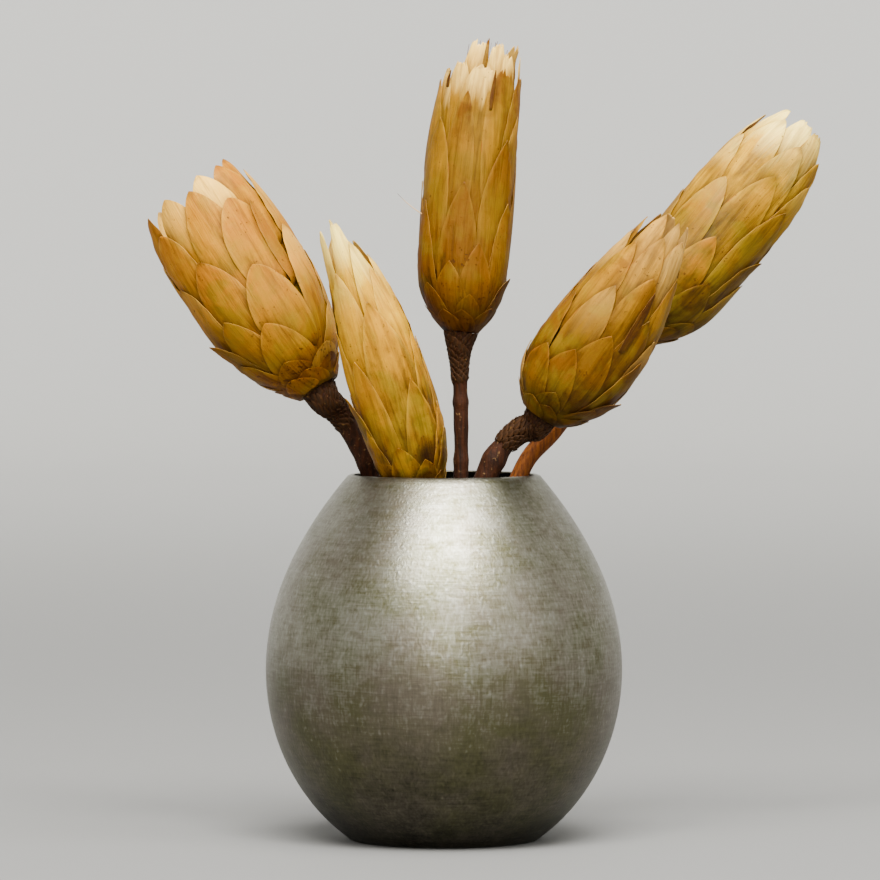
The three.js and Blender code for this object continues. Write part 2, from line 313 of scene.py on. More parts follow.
def new_tree(name: str, inputs: dict[str, Any]) -> tuple[NodeTree, Put, Any]:
    """Starts a Geometry Nodes tree with named inputs.

    Args:
        name: The tree's name.
        inputs: For each input after the geometry, its default, or its kind where it has none.

    Returns:
        The tree, what adds a node to it, and the sockets of its inputs.
    """
    tree = bpy.data.node_groups.new(name, "GeometryNodeTree")
    tree.interface.new_socket("Geometry", in_out="INPUT", socket_type="NodeSocketGeometry")
    for title, default in inputs.items():
        kind = {int: "Int", float: "Float"}.get(type(default), default)
        socket = tree.interface.new_socket(title, in_out="INPUT", socket_type=f"NodeSocket{kind}")
        if kind != default:
            socket.default_value = default
    tree.interface.new_socket("Geometry", in_out="OUTPUT", socket_type="NodeSocketGeometry")
    put = partial(add_node, tree)
    return tree, put, put("NodeGroupInput").node.outputs


def end_tree(tree: NodeTree, shape: NodeSocket, finish: NodeSocket) -> NodeTree:
    """Ends a tree: what it made becomes real, smooth mesh with its finish.

    Args:
        tree: The tree.
        shape: The socket that gives its geometry.
        finish: The socket that gives its material.

    Returns:
        The same tree.
    """
    real = add_node(tree, "GeometryNodeRealizeInstances", (shape,))
    smooth = add_node(tree, "GeometryNodeSetShadeSmooth", (real,))
    dressed = add_node(tree, "GeometryNodeSetMaterial", {"Geometry": smooth, "Material": finish})
    add_node(tree, "NodeGroupOutput", (dressed,))
    return tree


def planted(
    put: Put, given: Any, foot: NodeSocket, turn: NodeSocket, tilt: NodeSocket, stray: NodeSocket,
    size: NodeSocket,
) -> NodeSocket:
    """Plants copies of an object round the middle, each turned with its place.

    Args:
        put: What adds a node to the tree.
        given: The tree's inputs, with Copied and Count among them.
        foot: Where a copy's foot is, before it goes round the middle.
        turn: How far round it goes.
        tilt: How far it leans inwards.
        stray: How far it leans aside.
        size: Its size.

    Returns:
        The socket that gives the copies.
    """
    turned = put("VectorRotate", {"Vector": foot, "Angle": turn}, rotation_type="Z_AXIS")
    points = put("GeometryNodePoints", {"Count": given["Count"], "Position": turned})
    copied = put("GeometryNodeObjectInfo", {"Object": given["Copied"]}, out="Geometry")
    angles = put("CombineXYZ", (tilt, stray, turn))
    places = {"Points": points, "Instance": copied, "Rotation": angles, "Scale": size}
    return put("GeometryNodeInstanceOnPoints", places)


def roughened(
    put: Put, shape: NodeSocket, way: NodeSocket, noise: dict[str, Any], depth: NodeSocket
) -> NodeSocket:
    """Moves a shape's points a little in and out by noise.

    Args:
        put: What adds a node to the tree.
        shape: The socket that gives the shape.
        way: Which way is out.
        noise: The noise's inputs.
        depth: How far in and out, from the deepest to the highest point.

    Returns:
        The socket that gives the rough shape.
    """
    grain = put("TexNoise", noise)
    centred = put("Math", (grain, 0.5), operation="SUBTRACT")
    lift = put("Math", (centred, depth), operation="MULTIPLY")
    shift = put("VectorMath", {0: way, "Scale": lift}, operation="SCALE")
    return put("GeometryNodeSetPosition", {"Geometry": shape, "Offset": shift})


def grow(host: Object, tree: NodeTree, sizes: dict[str, Any]) -> Object:
    """Runs a Geometry Nodes tree on an object and keeps its result as a plain mesh.

    Args:
        host: The object that the tree starts from.
        tree: The node tree.
        sizes: Values for the tree's named inputs.

    Returns:
        The host, with the result as its mesh and no modifier left.
    """
    modifier = host.modifiers.new(tree.name, "NODES")
    modifier.node_group = tree
    for item in tree.interface.items_tree:
        if item.item_type == "SOCKET" and item.in_out == "INPUT" and item.name in sizes:
            modifier[item.identifier] = sizes[item.name]
    graph = bpy.context.evaluated_depsgraph_get()
    grown = bpy.data.meshes.new_from_object(host.evaluated_get(graph), depsgraph=graph)
    host.modifiers.remove(modifier)
    grown.name = host.name
    host.data = grown
    return host


def seat(made: Object, node: str) -> None:
    """Lets a finished piece stand for a node of the frame: hangs it on the body and hides that node's
    imported part.

    Args:
        made: The piece, at the origin and with no live modifier.
        node: The node that it stands for.
    """
    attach(made, BODY)
    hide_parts(node)
    log.info("%s: %d faces", made.name, len(made.data.polygons))


# Finishes

@dataclass(frozen=True)
class AgedMetal:
    """Spun aluminium, brushed both ways with an abrasive pad and then left to tarnish.

    Fine crossed lines and a net of small scratches spread every highlight into a broad soft patch. The
    tarnish lies over them in clouds of olive, brown and grey. The lower half is painted darker: painted
    shade standing in for the shadowed floor that it reflects.
    """

    dark: str = "#23221b"
    olive: str = "#56543c"
    grey: str = "#645d50"
    bare: str = "#99998f"
    bare_roughness: float = 0.33
    dull_roughness: float = 0.45
    line_spacing: float = 0.9  # real lines are finer; this is the finest that shows
    line_length: float = 9.0
    scratch: float = 1.4
    stain: float = 5.0
    cloud: float = 30.0
    hue_cloud: float = 24.0
    # painted shade: the height below which the tone is darkened
    painted_shade_below: float = 84.0
    line_depth: float = 0.08

    def material(self) -> Material:
        """Builds the material from the sizes and colours above."""
        material, put = blank_material("aged_brushed_aluminium")
        spot = put("TexCoord", out="Object")
        fine, long = 1 / (self.line_spacing * MM), 1 / (self.line_length * MM)
        lines = 0.0
        for scale in ((long, long, fine), (fine, fine, long)):
            at = put("Mapping", {"Vector": spot, "Scale": scale})
            line = put("TexNoise", {"Vector": at, "Scale": 1.0, "Detail": 4.0, "Distortion": 0.5})
            lines = put("Math", (line, lines), operation="ADD")
        upright = put("Mapping", {"Vector": spot, "Scale": (1.0, 1.0, 0.7)})
        scratches = {"Vector": upright, "Scale": 1 / (self.scratch * MM), "Detail": 5.0, "Roughness": 0.6}
        net = put("TexNoise", scratches, noise_type="RIDGED_MULTIFRACTAL")
        clouds = {"Vector": spot, "Detail": 6.0, "Roughness": 0.65, "Distortion": 0.4}
        cloud, hue, stain = (
            put("TexNoise", {**clouds, "Scale": 1 / (size * MM)})
            for size in (self.cloud, self.hue_cloud, self.stain)
        )
        height = put("SeparateXYZ", (spot,), out="Z")
        # painted shade: the tone is darker towards the bottom, for the shadowed floor that the lower half
        # reflects
        tone = put("MapRange", (height, 0.0, self.painted_shade_below * MM, -0.17, 0.1), **SMOOTH)
        for layer, weight in ((cloud, 0.26), (stain, 0.24), (lines, 0.2), (net, 0.15)):
            tone = put("Math", (layer, weight, tone), operation="MULTIPLY_ADD")
        level = put("MapRange", (tone, 0.16, 0.8))
        warm, cool = (
            put("ValToRGB", (level,), ((0.0, self.dark), (0.5, middle), (1.0, self.bare)))
            for middle in (self.grey, self.olive)
        )
        greening = put("MapRange", (hue, 0.38, 0.62))
        colour = put("Mix", {0: greening, 6: warm, 7: cool}, data_type="RGBA", out=2)
        roughness = put("MapRange", (level, 0.0, 1.0, self.dull_roughness, self.bare_roughness))
        relief = put("Math", (net, 1.2, lines), operation="MULTIPLY_ADD")
        bump = put("Bump", {"Strength": 0.6, "Distance": self.line_depth * MM, "Height": relief})
        shader = {"Base Color": colour, "Metallic": 1.0, "Roughness": roughness, "Normal": bump}
        put("OutputMaterial", {"Surface": put("BsdfPrincipled", shader)})
        return material


@dataclass(frozen=True)
class DriedBract:
    """A protea's dried bract: a tough, papery scale leaf with a faint coat of wax.

    The wax gives it a soft sheen. It dries golden yellow in patches of orange and olive, with pale worn
    margins that turn rusty where they frayed, brown specks, and faint lengthwise veins. Close to the edge
    of a bract that lies on it, it is darkened brown as painted shade.

    Args:
        name: The head that it belongs to.
        by_height: Its colours from the head's base to the tip.
        blush: The colour of its orange patches.
        cream: The colour of the bracts that grew shaded, inside the mouth.
        margin: The colour of worn margins.
        shade: How dark the painted shade makes a bract close to the edge of one that lies on it.
    """

    name: str
    by_height: Sequence[tuple[float, str]]
    blush: str
    cream: str
    margin: str
    shade: float = 0.5
    cream_down: float = 24.0  # a young bract is cream from its tip down to here
    olive: str = "#776309"
    rust: str = "#783405"
    brown: str = "#351904"
    lining: str = "#ad8647"
    vein: str = "#8f7d5c"
    roughness: float = 0.52
    vein_spacing: float = 1.1  # real veins lie about 0.4 mm apart; this is the finest that shows
    vein_length: float = 14.0
    streak_width: float = 3.2
    streak_length: float = 24.0
    cloud: float = 12.0
    blotch: float = 7.0
    blush_down: float = 24.0  # a bract is orange from its tip down to here
    speck: float = 1.3
    dent: float = 0.45

    def material(self) -> Material:
        """Builds the material, which reads the marks leaf, place and rim of a bract."""
        material, put = blank_material(f"dried_bract_{self.name}")
        marks = [put("Attribute", attribute_name=name, out="Vector") for name in ("leaf", "place", "rim")]
        parts = [part for row in marks for part in put("SeparateXYZ", (row,)).node.outputs]
        _, below, number, height, tone, blush, edge, painted_shade, lining = parts
        spot = put("TexCoord", out="Object")
        chance = put("TexWhiteNoise", {"W": number}, noise_dimensions="1D")
        drifted = put("Mapping", {"Vector": spot, "Location": (0.3, 0.1, 0.2)})
        clouds = {"Detail": 4.0, "Roughness": 0.5, "Distortion": 0.4}
        cloud, blotch, other = (
            put("TexNoise", {**clouds, "Vector": at, "Scale": 1 / (size * MM)})
            for at, size in ((spot, self.cloud), (spot, self.blotch), (drifted, self.blotch * 1.5))
        )
        grain = {"Scale": 1.0, "Detail": 3.0, "Roughness": 0.55, "Distortion": 0.6}
        sizes = (self.vein_spacing, self.vein_length), (self.streak_width, self.streak_length)
        veins, streaks = (
            put("TexNoise", {**grain, "Vector": put("Mapping", {"Vector": marks[0], "Scale": scale})})
            for scale in ((1 / width, 1 / length, 3.7) for width, length in sizes)
        )

        rise = height
        for layer, weight in ((cloud, 0.7), (streaks, 0.6), (chance, -0.2)):
            rise = put("Math", (layer, weight, rise), operation="MULTIPLY_ADD")
        rise = put("Math", (rise, 0.56), operation="SUBTRACT")
        colour = put("ValToRGB", (rise,), self.by_height)

        glow = put("MapRange", (blotch, 0.36, 0.62, 0.15), **SMOOTH)
        upper = put("MapRange", (below, self.blush_down, self.blush_down * 0.3, 0.2), **SMOOTH)
        ragged = put("Math", (streaks, 26.0, below), operation="MULTIPLY_ADD")
        young = put("MapRange", (ragged, self.cream_down + 13.0, self.cream_down * 0.25 + 13.0))
        creamy = put("MapRange", (tone, 0.0, 1.0))
        brown = put("MapRange", (tone, 0.0, -1.0))
        plain = put("MapRange", (tone, 0.0, 1.0, 1.0, 0.3))
        greenish = put("MapRange", (other, 0.54, 0.36, 0.0, 0.42), **SMOOTH)
        frayed = put("Math", (other, 0.5, edge), operation="MULTIPLY_ADD")
        rusty = put("MapRange", (frayed, 1.24, 1.34, 0.0, 0.75), **SMOOTH)
        paler = put("MapRange", (height, 0.0, 0.5, 0.1, 0.5))
        worn = put("MapRange", (edge, 0.7, 1.0, 0.0, paler), **SMOOTH)
        size = 1 / (self.speck * MM)
        fleck = put("TexNoise", {"Vector": spot, "Scale": size, "Detail": 2.0, "Roughness": 0.5})
        weathered = put("MapRange", (height, 0.45, 0.0, 0.0, 0.09))
        flecks = put("Math", (fleck, weathered), operation="ADD")
        dotted = put("Math", (other, 0.35, flecks), operation="MULTIPLY_ADD")
        speckled = put("MapRange", (dotted, 0.87, 0.95, 0.0, 0.75))
        singed = put("MapRange", (below, 2.4, 0.0, 0.0, 0.8))
        layers = (
            ((greenish, plain), self.olive),
            ((glow, upper, blush), self.blush),
            ((creamy, young), self.cream),
            ((worn, other), self.margin),
            ((rusty, plain), self.rust),
            ((speckled,), self.brown),
            ((singed, chance), self.brown),
            ((brown,), self.brown),
            # painted shade: brown close to the edge of a bract that lies on top, where shade falls between
            # bracts
            ((painted_shade, plain, self.shade), self.brown),
            ((lining, plain), self.lining),
        )
        for (share, *factors), code in layers:
            for factor in factors:
                share = put("Math", (share, factor), operation="MULTIPLY")
            colour = put("Mix", {0: share, 6: colour, 7: linear(code)}, data_type="RGBA", out=2)
        mottle = put("Math", (streaks, 0.9, veins), operation="MULTIPLY_ADD")
        veined = put("ValToRGB", (mottle,), ((0.7, self.vein), (1.0, "#ffffff")))
        colour = put("Mix", {0: 0.5, 6: colour, 7: veined}, data_type="RGBA", blend_type="MULTIPLY", out=2)
        relief = put("Math", (blotch, 1.5, veins), operation="MULTIPLY_ADD")
        bump = put("Bump", {"Strength": 0.6, "Distance": self.dent * MM, "Height": relief})
        roughness = put("MapRange", (cloud, 0.3, 0.7, self.roughness - 0.08, self.roughness + 0.12))
        shader = {
            "Base Color": colour, "Roughness": roughness, "Normal": bump,
            "IOR": 1.45, "Specular IOR Level": 0.1,
            "Subsurface Weight": 0.08, "Subsurface Radius": (1.0, 0.45, 0.1), "Subsurface Scale": 1.2 * MM,
        }
        put("OutputMaterial", {"Surface": put("BsdfPrincipled", shader)})
        return material


@dataclass(frozen=True)
class Bark:
    """The bark of a protea's stem: thin, dry and matt, streaked along it and flecked with pale pores."""

    name: str
    dark: str
    light: str
    fleck: str
    flecks_from: float
    roughness: float = 0.72
    streak: float = 1.1
    streak_length: float = 15.0
    fleck_size: float = 1.5
    depth: float = 0.35

    def material(self) -> Material:
        """Builds the material, which reads the mark grain of a stem."""
        material, put = blank_material(self.name)
        grain = put("Attribute", attribute_name="grain", out="Vector")
        spot = put("TexCoord", out="Object")
        scale = (1 / self.streak, 1 / self.streak, 1 / self.streak_length)
        at = put("Mapping", {"Vector": grain, "Scale": scale})
        streaks = put("TexNoise", {"Vector": at, "Scale": 1.0, "Detail": 5.0, "Roughness": 0.62})
        wood = put("ValToRGB", (streaks,), ((0.32, self.dark), (0.68, self.light)))
        size = 1 / (self.fleck_size * MM)
        flecks = put("TexNoise", {"Vector": spot, "Scale": size, "Detail": 3.0, "Roughness": 0.6})
        flecked = put("MapRange", (flecks, self.flecks_from, self.flecks_from + 0.12, 0.0, 0.8))
        colour = put("Mix", {0: flecked, 6: wood, 7: linear(self.fleck)}, data_type="RGBA", out=2)
        relief = put("Math", (flecks, streaks), operation="ADD")
        bump = put("Bump", {"Strength": 0.8, "Distance": self.depth * MM, "Height": relief})
        roughness = put("MapRange", (flecks, 0.0, 1.0, self.roughness - 0.15, self.roughness + 0.15))
        shader = {
            "Base Color": colour, "Roughness": roughness, "Normal": bump,
            "IOR": 1.45, "Specular IOR Level": 0.16,
        }
        put("OutputMaterial", {"Surface": put("BsdfPrincipled", shader)})
        return material


@dataclass(frozen=True)
class SilkyHair:
    """The florets' hairs and styles: fine, dry and silky, so light glances off them in a soft bloom."""

    name: str
    foot: str
    head: str
    colour_from: float  # share of the hair's length where it starts to turn
    roughness: float = 0.6
    mottle: float = 2.5

    def material(self) -> Material:
        """Builds the material, which reads the mark strand of a hair."""
        material, put = blank_material(self.name)
        hair = put("Attribute", attribute_name="strand", out="Vector")
        along = put("SeparateXYZ", (hair,), out="Z")
        spot = put("TexCoord", out="Object")
        mottle = put("TexNoise", {"Vector": spot, "Scale": 1 / (self.mottle * MM), "Detail": 2.0})
        wobble = put("Math", (mottle, 0.3, along), operation="MULTIPLY_ADD")
        colour = put("ValToRGB", (wobble,), ((self.colour_from, self.foot), (1.0, self.head)))
        shader = {
            "Base Color": colour, "Roughness": self.roughness,
            "IOR": 1.45, "Sheen Weight": 0.4, "Sheen Roughness": 0.4,
        }
        put("OutputMaterial", {"Surface": put("BsdfPrincipled", shader)})
        return material


# The flower's parts

@dataclass(frozen=True)
class Axis:
    """Where a flower head stands: its base, its tip and how far its middle bows to the viewer's right."""

    base: Point
    tip: Point
    bow: float = 0.0

    @property
    def length(self) -> float:
        """The straight length from base to tip."""
        return float(np.linalg.norm(np.subtract(self.tip, self.base)))

    def directions(self) -> tuple[Array, Array, Array]:
        """Gives the head's own axes.

        Returns:
            Unit vectors to the viewer's right, away from the viewer and along the head.
        """
        along = np.subtract(self.tip, self.base) / self.length
        away = unit(np.array([0.0, 1.0, 0.0]) - along * along[1])
        return np.cross(away, along), away, along

    def placed(self, local: Array) -> Array:
        """Moves points from the head's own straight frame to where the head stands.

        Args:
            local: Points along the head's own axes, the last axis along the head.

        Returns:
            The points in the object's frame.
        """
        across, away, along = self.directions()
        share = local[..., 2:3] / self.length
        right = local[..., 0:1] + self.bow * 4 * share * (1 - share)
        return np.array(self.base) + right * across + local[..., 1:2] * away + local[..., 2:3] * along


@dataclass(frozen=True)
class Outline:
    """A head's outline: a bowl that opens to the widest place and then tapers to the tip."""

    base: float
    widest: float
    tip: float
    bowl_end: float
    bowl_power: float
    taper_power: float

    def radius(self, height: Array) -> Array:
        """Gives the head's radius.

        Args:
            height: Shares of the head's length.

        Returns:
            The radius at each height.
        """
        low = np.clip(height, 0.0, self.bowl_end) / self.bowl_end
        bowl = self.base + (self.widest - self.base) * (1 - (1 - low) ** self.bowl_power)
        high = np.clip((height - self.bowl_end) / (1 - self.bowl_end), 0.0, 1.1)
        return bowl - (self.widest - self.tip) * high**self.taper_power


@dataclass(frozen=True)
class Seen:
    """A bract that the viewer sees, with its tip where the flower has it.

    Args:
        height: The tip's height.
        turn: The tip's turn in degrees.
        width: Its width against the head's usual one.
        tone: From -1, dead brown, over 0, the usual colour of its height, to 1, cream.
        blush: How orange its patches are, up to 1.
        curl: How far its tip stands off, or None for the usual.
        curl_over: The length below the tip that stands off.
        length: Its length against the head's usual one.
        torn: How much of its tip has broken off, in millimetres.
        root: Its width at the root against its full width.
        over: How far out it lies, beyond its height's usual place, as a share of the head's length.
    """

    height: float
    turn: float
    width: float
    tone: float
    blush: float
    curl: float | None = None
    curl_over: float = 9.0
    length: float = 1.0
    torn: float = 0.0
    root: float = 0.66
    over: float = 0.0


@dataclass(frozen=True)
class Bract:
    """One bract of a head. Sizes are in millimetres, its tip's height is a share of the head's length."""

    number: int
    tip: float
    turn: float
    half_width: float
    length: float
    taper: float
    sharpness: float
    curl: float
    tone: float
    blush: float
    curl_over: float = 9.0
    lean: float = 0.0
    inward: float = 0.0
    torn: float = 0.0
    root: float = 0.66
    over: float = 0.0

    TIP_POWER = 2.0
    LEAST = 0.12

    def half_at(self, below: Array) -> Array:
        """Gives the bract's half-width at distances below its tip."""
        to_tip = np.clip(1 - (below + self.torn) / self.taper, 0.0, 1.0)
        leaf = (1 - to_tip**self.TIP_POWER) ** self.sharpness
        to_root = np.clip((below - self.taper) / (self.length - self.taper), 0.0, 1.0)
        return np.maximum(self.half_width * leaf * (1 - (1 - self.root) * to_root**2), self.LEAST)


@dataclass(frozen=True)
class Spiral:
    """How a head's bracts follow each other: each one a golden angle on and a little higher.

    Args:
        count: How many bracts reach the outline.
        inner: How many more stand inside them at the mouth.
        half_width: Half of a full-grown bract's width.
        first_tip: The height of the lowest tip.
        rise: From one tip to the next, as a share of the head's length.
        phase: The first bract's turn in degrees.
        sharpness: How pointed the tips are, 1 for a straight-sided point and 0.5 for a round one.
        length: The length of a full-grown bract, as a share of the head's.
        blush: The usual blush, from 0 to 1.
        creamy_from: The height above which bracts turn creamy.
        torn: The most that has broken off the tips at the mouth, in millimetres.
        slant: How much lower the mouth is at the viewer's left, or with a minus sign at the right.
    """

    count: int
    inner: int
    half_width: float
    first_tip: float
    rise: float
    phase: float
    sharpness: float
    length: float = 0.42
    blush: float = 0.55
    creamy_from: float = 0.85
    torn: float = 1.0
    slant: float = 0.0

    FULL_GROWN = 9
    FIRST_WIDTH = 0.72
    INNER_STEP = 0.5
    COLLAR = 8
    COLLAR_TIP = 0.06
    TAPER = 0.56
    FRONT = math.radians(64)
    CLOSE = math.radians(26)
    CLOSE_HEIGHT = 0.06
    INWARD_RANK = 0.004

    def bracts(self, axis: Axis, seen: Sequence[Seen]) -> list[Bract]:
        """Lays out a head's bracts, from the lowest and outermost to the innermost.

        Args:
            axis: Where the head stands.
            seen: The bracts of the side that faces the viewer, each with a place of its own.

        Returns:
            The bracts in the order in which they lie over each other.
        """
        collar = [self._collar(number, axis) for number in range(self.COLLAR)]
        spiral = [self._usual(number, axis) for number in range(self.count + self.inner)]
        behind = [bract for bract in spiral if self._fills_a_gap(bract, seen)]
        front = [self._shown(number, wish, axis) for number, wish in enumerate(seen)]
        every = [*collar, *behind, *front]
        return sorted(every, key=lambda bract: bract.tip + bract.inward * self.INWARD_RANK - bract.over)

    def _facing(self, turn: float) -> float:
        """Brings a turn to between half a turn back and half a turn on from the viewer's side."""
        return (turn + math.pi) % (2 * math.pi) - math.pi

    def _fills_a_gap(self, bract: Bract, seen: Sequence[Seen]) -> bool:
        """Says whether a spiral bract is on the far side and isn't next to one of the listed bracts."""
        if abs(self._facing(bract.turn)) < self.FRONT:
            return False
        return all(
            abs(bract.tip - wish.height) > self.CLOSE_HEIGHT
            or abs(self._facing(bract.turn - math.radians(wish.turn))) > self.CLOSE
            for wish in seen
        )

    def _collar(self, number: int, axis: Axis) -> Bract:
        """Gives one of the small bracts round the head's foot."""
        tip = self.COLLAR_TIP + 0.03 * scatter(number, 23)
        return Bract(
            number=200 + number,
            tip=tip,
            turn=number * GOLDEN_ANGLE,
            half_width=self.half_width * 0.75,
            length=tip * axis.length,
            taper=tip * 0.8 * axis.length,
            sharpness=self.sharpness,
            curl=0.3 * scatter(number, 29),
            curl_over=4.0,
            tone=-0.25 * scatter(number, 31),
            blush=self.blush,
        )

    def _usual(self, number: int, axis: Axis) -> Bract:
        """Gives the spiral's bract of a number."""
        extra = max(0, number - self.count + 1)
        jitter = (scatter(number, self.count) - 0.5) * self.rise
        tip = min(self.first_tip + self.rise * number, 1.0) + jitter - 0.02 * min(extra, 1)
        turn = math.radians(self.phase) + number * GOLDEN_ANGLE
        side = (1 - math.copysign(1.0, self.slant) * math.sin(turn)) / 2
        tip -= abs(self.slant) * side * min(max((tip - 0.8) / 0.15, 0.0), 1.0)
        grown = min(1.0, number / self.FULL_GROWN)
        width = self.FIRST_WIDTH + (1 - self.FIRST_WIDTH) * grown
        creamy = (tip - self.creamy_from) / max(1 - self.creamy_from, 0.05)
        return Bract(
            number=number,
            tip=tip,
            turn=turn,
            half_width=self.half_width * width * (0.92 + 0.16 * scatter(number, 5)),
            length=min(self.length, tip) * axis.length,
            taper=min(self.length * self.TAPER, tip * 0.7) * axis.length,
            sharpness=self.sharpness + 0.16 * (scatter(number, 11) - 0.5),
            curl=0.1 + 0.3 * scatter(number, 7) ** 3,
            lean=0.004 * (scatter(number, 13) - 0.5),
            inward=self.INNER_STEP * extra,
            tone=min(max(creamy, 0.0), 1.0) * 0.8 + 0.2 * scatter(number, 17) ** 2,
            blush=min(1.0, self.blush + 0.5 * (scatter(number, 19) - 0.5)),
            torn=self.torn * scatter(number, 41) if tip > 0.9 else 0.0,
        )

    def _shown(self, number: int, wish: Seen, axis: Axis) -> Bract:
        """Gives the bract for one that the viewer sees."""
        return Bract(
            number=100 + number,
            tip=wish.height,
            turn=math.radians(wish.turn),
            half_width=self.half_width * wish.width,
            length=min(self.length * wish.length, wish.height) * axis.length,
            taper=min(self.length * self.TAPER * wish.length, wish.height * 0.7) * axis.length,
            sharpness=self.sharpness + 0.2 * (scatter(number, 11) - 0.5),
            curl=0.15 + 0.4 * scatter(number, 7) if wish.curl is None else wish.curl,
            curl_over=wish.curl_over,
            lean=0.004 * (scatter(number, 13) - 0.5),
            inward=max(0.0, wish.height - 0.96) * 30 * scatter(number, 37),
            tone=wish.tone,
            blush=wish.blush,
            torn=wish.torn,
            root=wish.root,
            over=wish.over,
        )


@dataclass
class Head:
    """A flower head: a cup with bracts laid over it, each pressed down by those that lie on it."""

    axis: Axis
    outline: Outline
    spiral: Spiral
    seen: Sequence[Seen]
    rows: int = 26
    columns: int = 15
    thickness: float = 0.36
    fray: float = 0.7  # a torn edge's depth, as a share of what broke off
    layer: float = 0.46  # how much deeper a bract lies for each one on top of it
    deepest: float = 3.2
    press_over: float = 5.5  # past a bract's edge, the one below rises again over this length
    # how far past a bract's edge the painted shade on the bract below reaches
    shade_over: float = 2.2
    edge_droop: float = 0.12
    wave: float = 0.14  # how far a bract's margins wave in and out
    wave_rate: float = 0.8  # radians to a millimetre
    curl_power: float = 1.8
    thin_edge: float = 0.65  # how much of its thickness a bract loses towards its margins
    swell: float = 0.45
    dive: float = 2.4
    dive_from: float = 0.12  # roots lower than this share of the head's length dive less
    dive_over: float = 3.0
    relief: float = 1.0  # how clearly each bract stands out from the next
    cup_inset: float = 3.2
    cup_wall: float = 1.8
    cup_sides: int = 48

    WIDEST_ANGLE = 0.78
    TIGHTEST_BEND = 3.0
    LEAST_RADIUS = 1.2
    OUTLINE_POINTS = 25

    def _bend(self, height: Array) -> Array:
        """Gives the radius that bracts are bent round at a height."""
        return np.maximum(self.outline.radius(height), self.TIGHTEST_BEND)

    def _half(self, bract: Bract, below: Array) -> Array:
        """Gives a bract's half-width, held to what can wrap round the head there."""
        bend = self._bend(bract.tip - below / self.axis.length)
        return np.minimum(bract.half_at(below), self.WIDEST_ANGLE * bend)

    def _pressing(self, bract: Bract, height: Array, turn: Array) -> tuple[Array, Array]:
        """Says how much a bract presses on what lies under it and shades it.

        Args:
            bract: The bract on top.
            height: Heights of the places asked for.
            turn: Their turns in radians.

        Returns:
            Both shares for each place: 1 beneath the bract, fading to 0 around it, the shade sooner.
        """
        below = (bract.tip - height) * self.axis.length
        middle = bract.turn + bract.lean * below
        round_way = (turn - middle + math.pi) % (2 * math.pi) - math.pi
        aside = np.abs(round_way) * self._bend(height)
        down = np.linspace(0.0, bract.length, self.OUTLINE_POINTS)
        border = stacked(self._half(bract, down), down)
        spot = stacked(aside, below)[..., None, :]
        step = np.diff(border, axis=0)
        share = ((spot - border[:-1]) * step).sum(-1) / (step**2).sum(-1)
        nearest = border[:-1] + np.clip(share, 0.0, 1.0)[..., None] * step
        gap = np.linalg.norm(spot - nearest, axis=-1).min(axis=-1)
        inside = (below > 0) & (below < bract.length) & (aside < self._half(bract, below))
        pressed, shaded = (
            np.where(inside, 1.0, 1.0 - eased(gap / over)) for over in (self.press_over, self.shade_over)
        )
        return pressed, shaded

    def _swelling(self, height: Array, turn: Array) -> Array:
        """Gives the slow unevenness that all of a head's bracts share."""
        first, second = scatter(self.spiral.phase, 1) * 6, scatter(self.spiral.phase, 2) * 6
        waves = np.sin(2 * turn + 7 * height + first) + np.sin(3 * turn - 11 * height + second)
        return self.swell * 0.5 * waves

    def _on_head(self, height: Array, turn: Array, radius: Array) -> Array:
        """Gives points on the head's own straight frame."""
        return stacked(radius * np.sin(turn), -radius * np.cos(turn), height * self.axis.length)

    def _blade(self, bract: Bract, above: Sequence[Bract], draft: Draft) -> None:
        """Adds one bract to a draft.

        Args:
            bract: The bract.
            above: The bracts that lie over it.
            draft: The draft that gets its closed skin.
        """
        along = np.linspace(1.0, 0.0, self.rows)[:, None] ** 1.3
        aside = np.sin(np.linspace(-math.pi / 2, math.pi / 2, self.columns))[None, :]
        ragged = np.array([[scatter(bract.number, column) for column in range(self.columns)]])
        frayed = self.fray * bract.torn * ragged * np.clip(1 - along / 0.2, 0.0, 1.0)
        below = along * bract.length + frayed
        height = bract.tip - below / self.axis.length
        half = self._half(bract, below)
        turn = bract.turn + bract.lean * below + aside * half / self._bend(height)
        height, below, half, aside = np.broadcast_arrays(height, below, half, aside)
        pressed, shaded = np.zeros_like(turn), np.zeros_like(turn)
        for other in above:
            press, shade = self._pressing(other, height, turn)
            pressed += press
            shaded = np.maximum(shaded, shade)
        layer = self.layer * self.relief
        depth = self.deepest * np.tanh(layer * pressed / self.deepest) + bract.inward
        from_root = (bract.length - below) / self.dive_over
        root = bract.tip - bract.length / self.axis.length
        depth = depth + self.dive * min(root / self.dive_from, 1.0) * (1 - eased(from_root))
        lifted = bract.curl * np.clip(1 - below / bract.curl_over, 0.0, 1.0) ** self.curl_power
        wave = self.wave * np.sin(below * self.wave_rate + bract.number) * aside**4
        drooping = self.edge_droop * np.abs(aside) ** 3
        outer = self.outline.radius(height) - depth + lifted - drooping + wave
        outer = np.maximum(outer + self._swelling(height, turn), self.LEAST_RADIUS)
        inner = outer - self.thickness * (1 - self.thin_edge * aside**2) * (0.5 + 0.5 * self.relief)
        rings = there_and_back(*(self._on_head(height, turn, radius) for radius in (outer, inner)))
        # the shadow share is painted shade, darkening a bract near the edges of those that lie on it
        across, down, rise, shadow_share, edge = (
            there_and_back(side, side) for side in (aside * half, below, height, shaded, np.abs(aside))
        )
        lining = there_and_back(np.zeros_like(turn), np.ones_like(turn))
        draft.add(
            self.axis.placed(rings),
            leaf_faces(self.rows, 2 * self.columns),
            leaf=stacked(across, down, bract.number),
            place=stacked(rise, bract.tone, bract.blush),
            rim=stacked(edge, shadow_share, lining),
        )

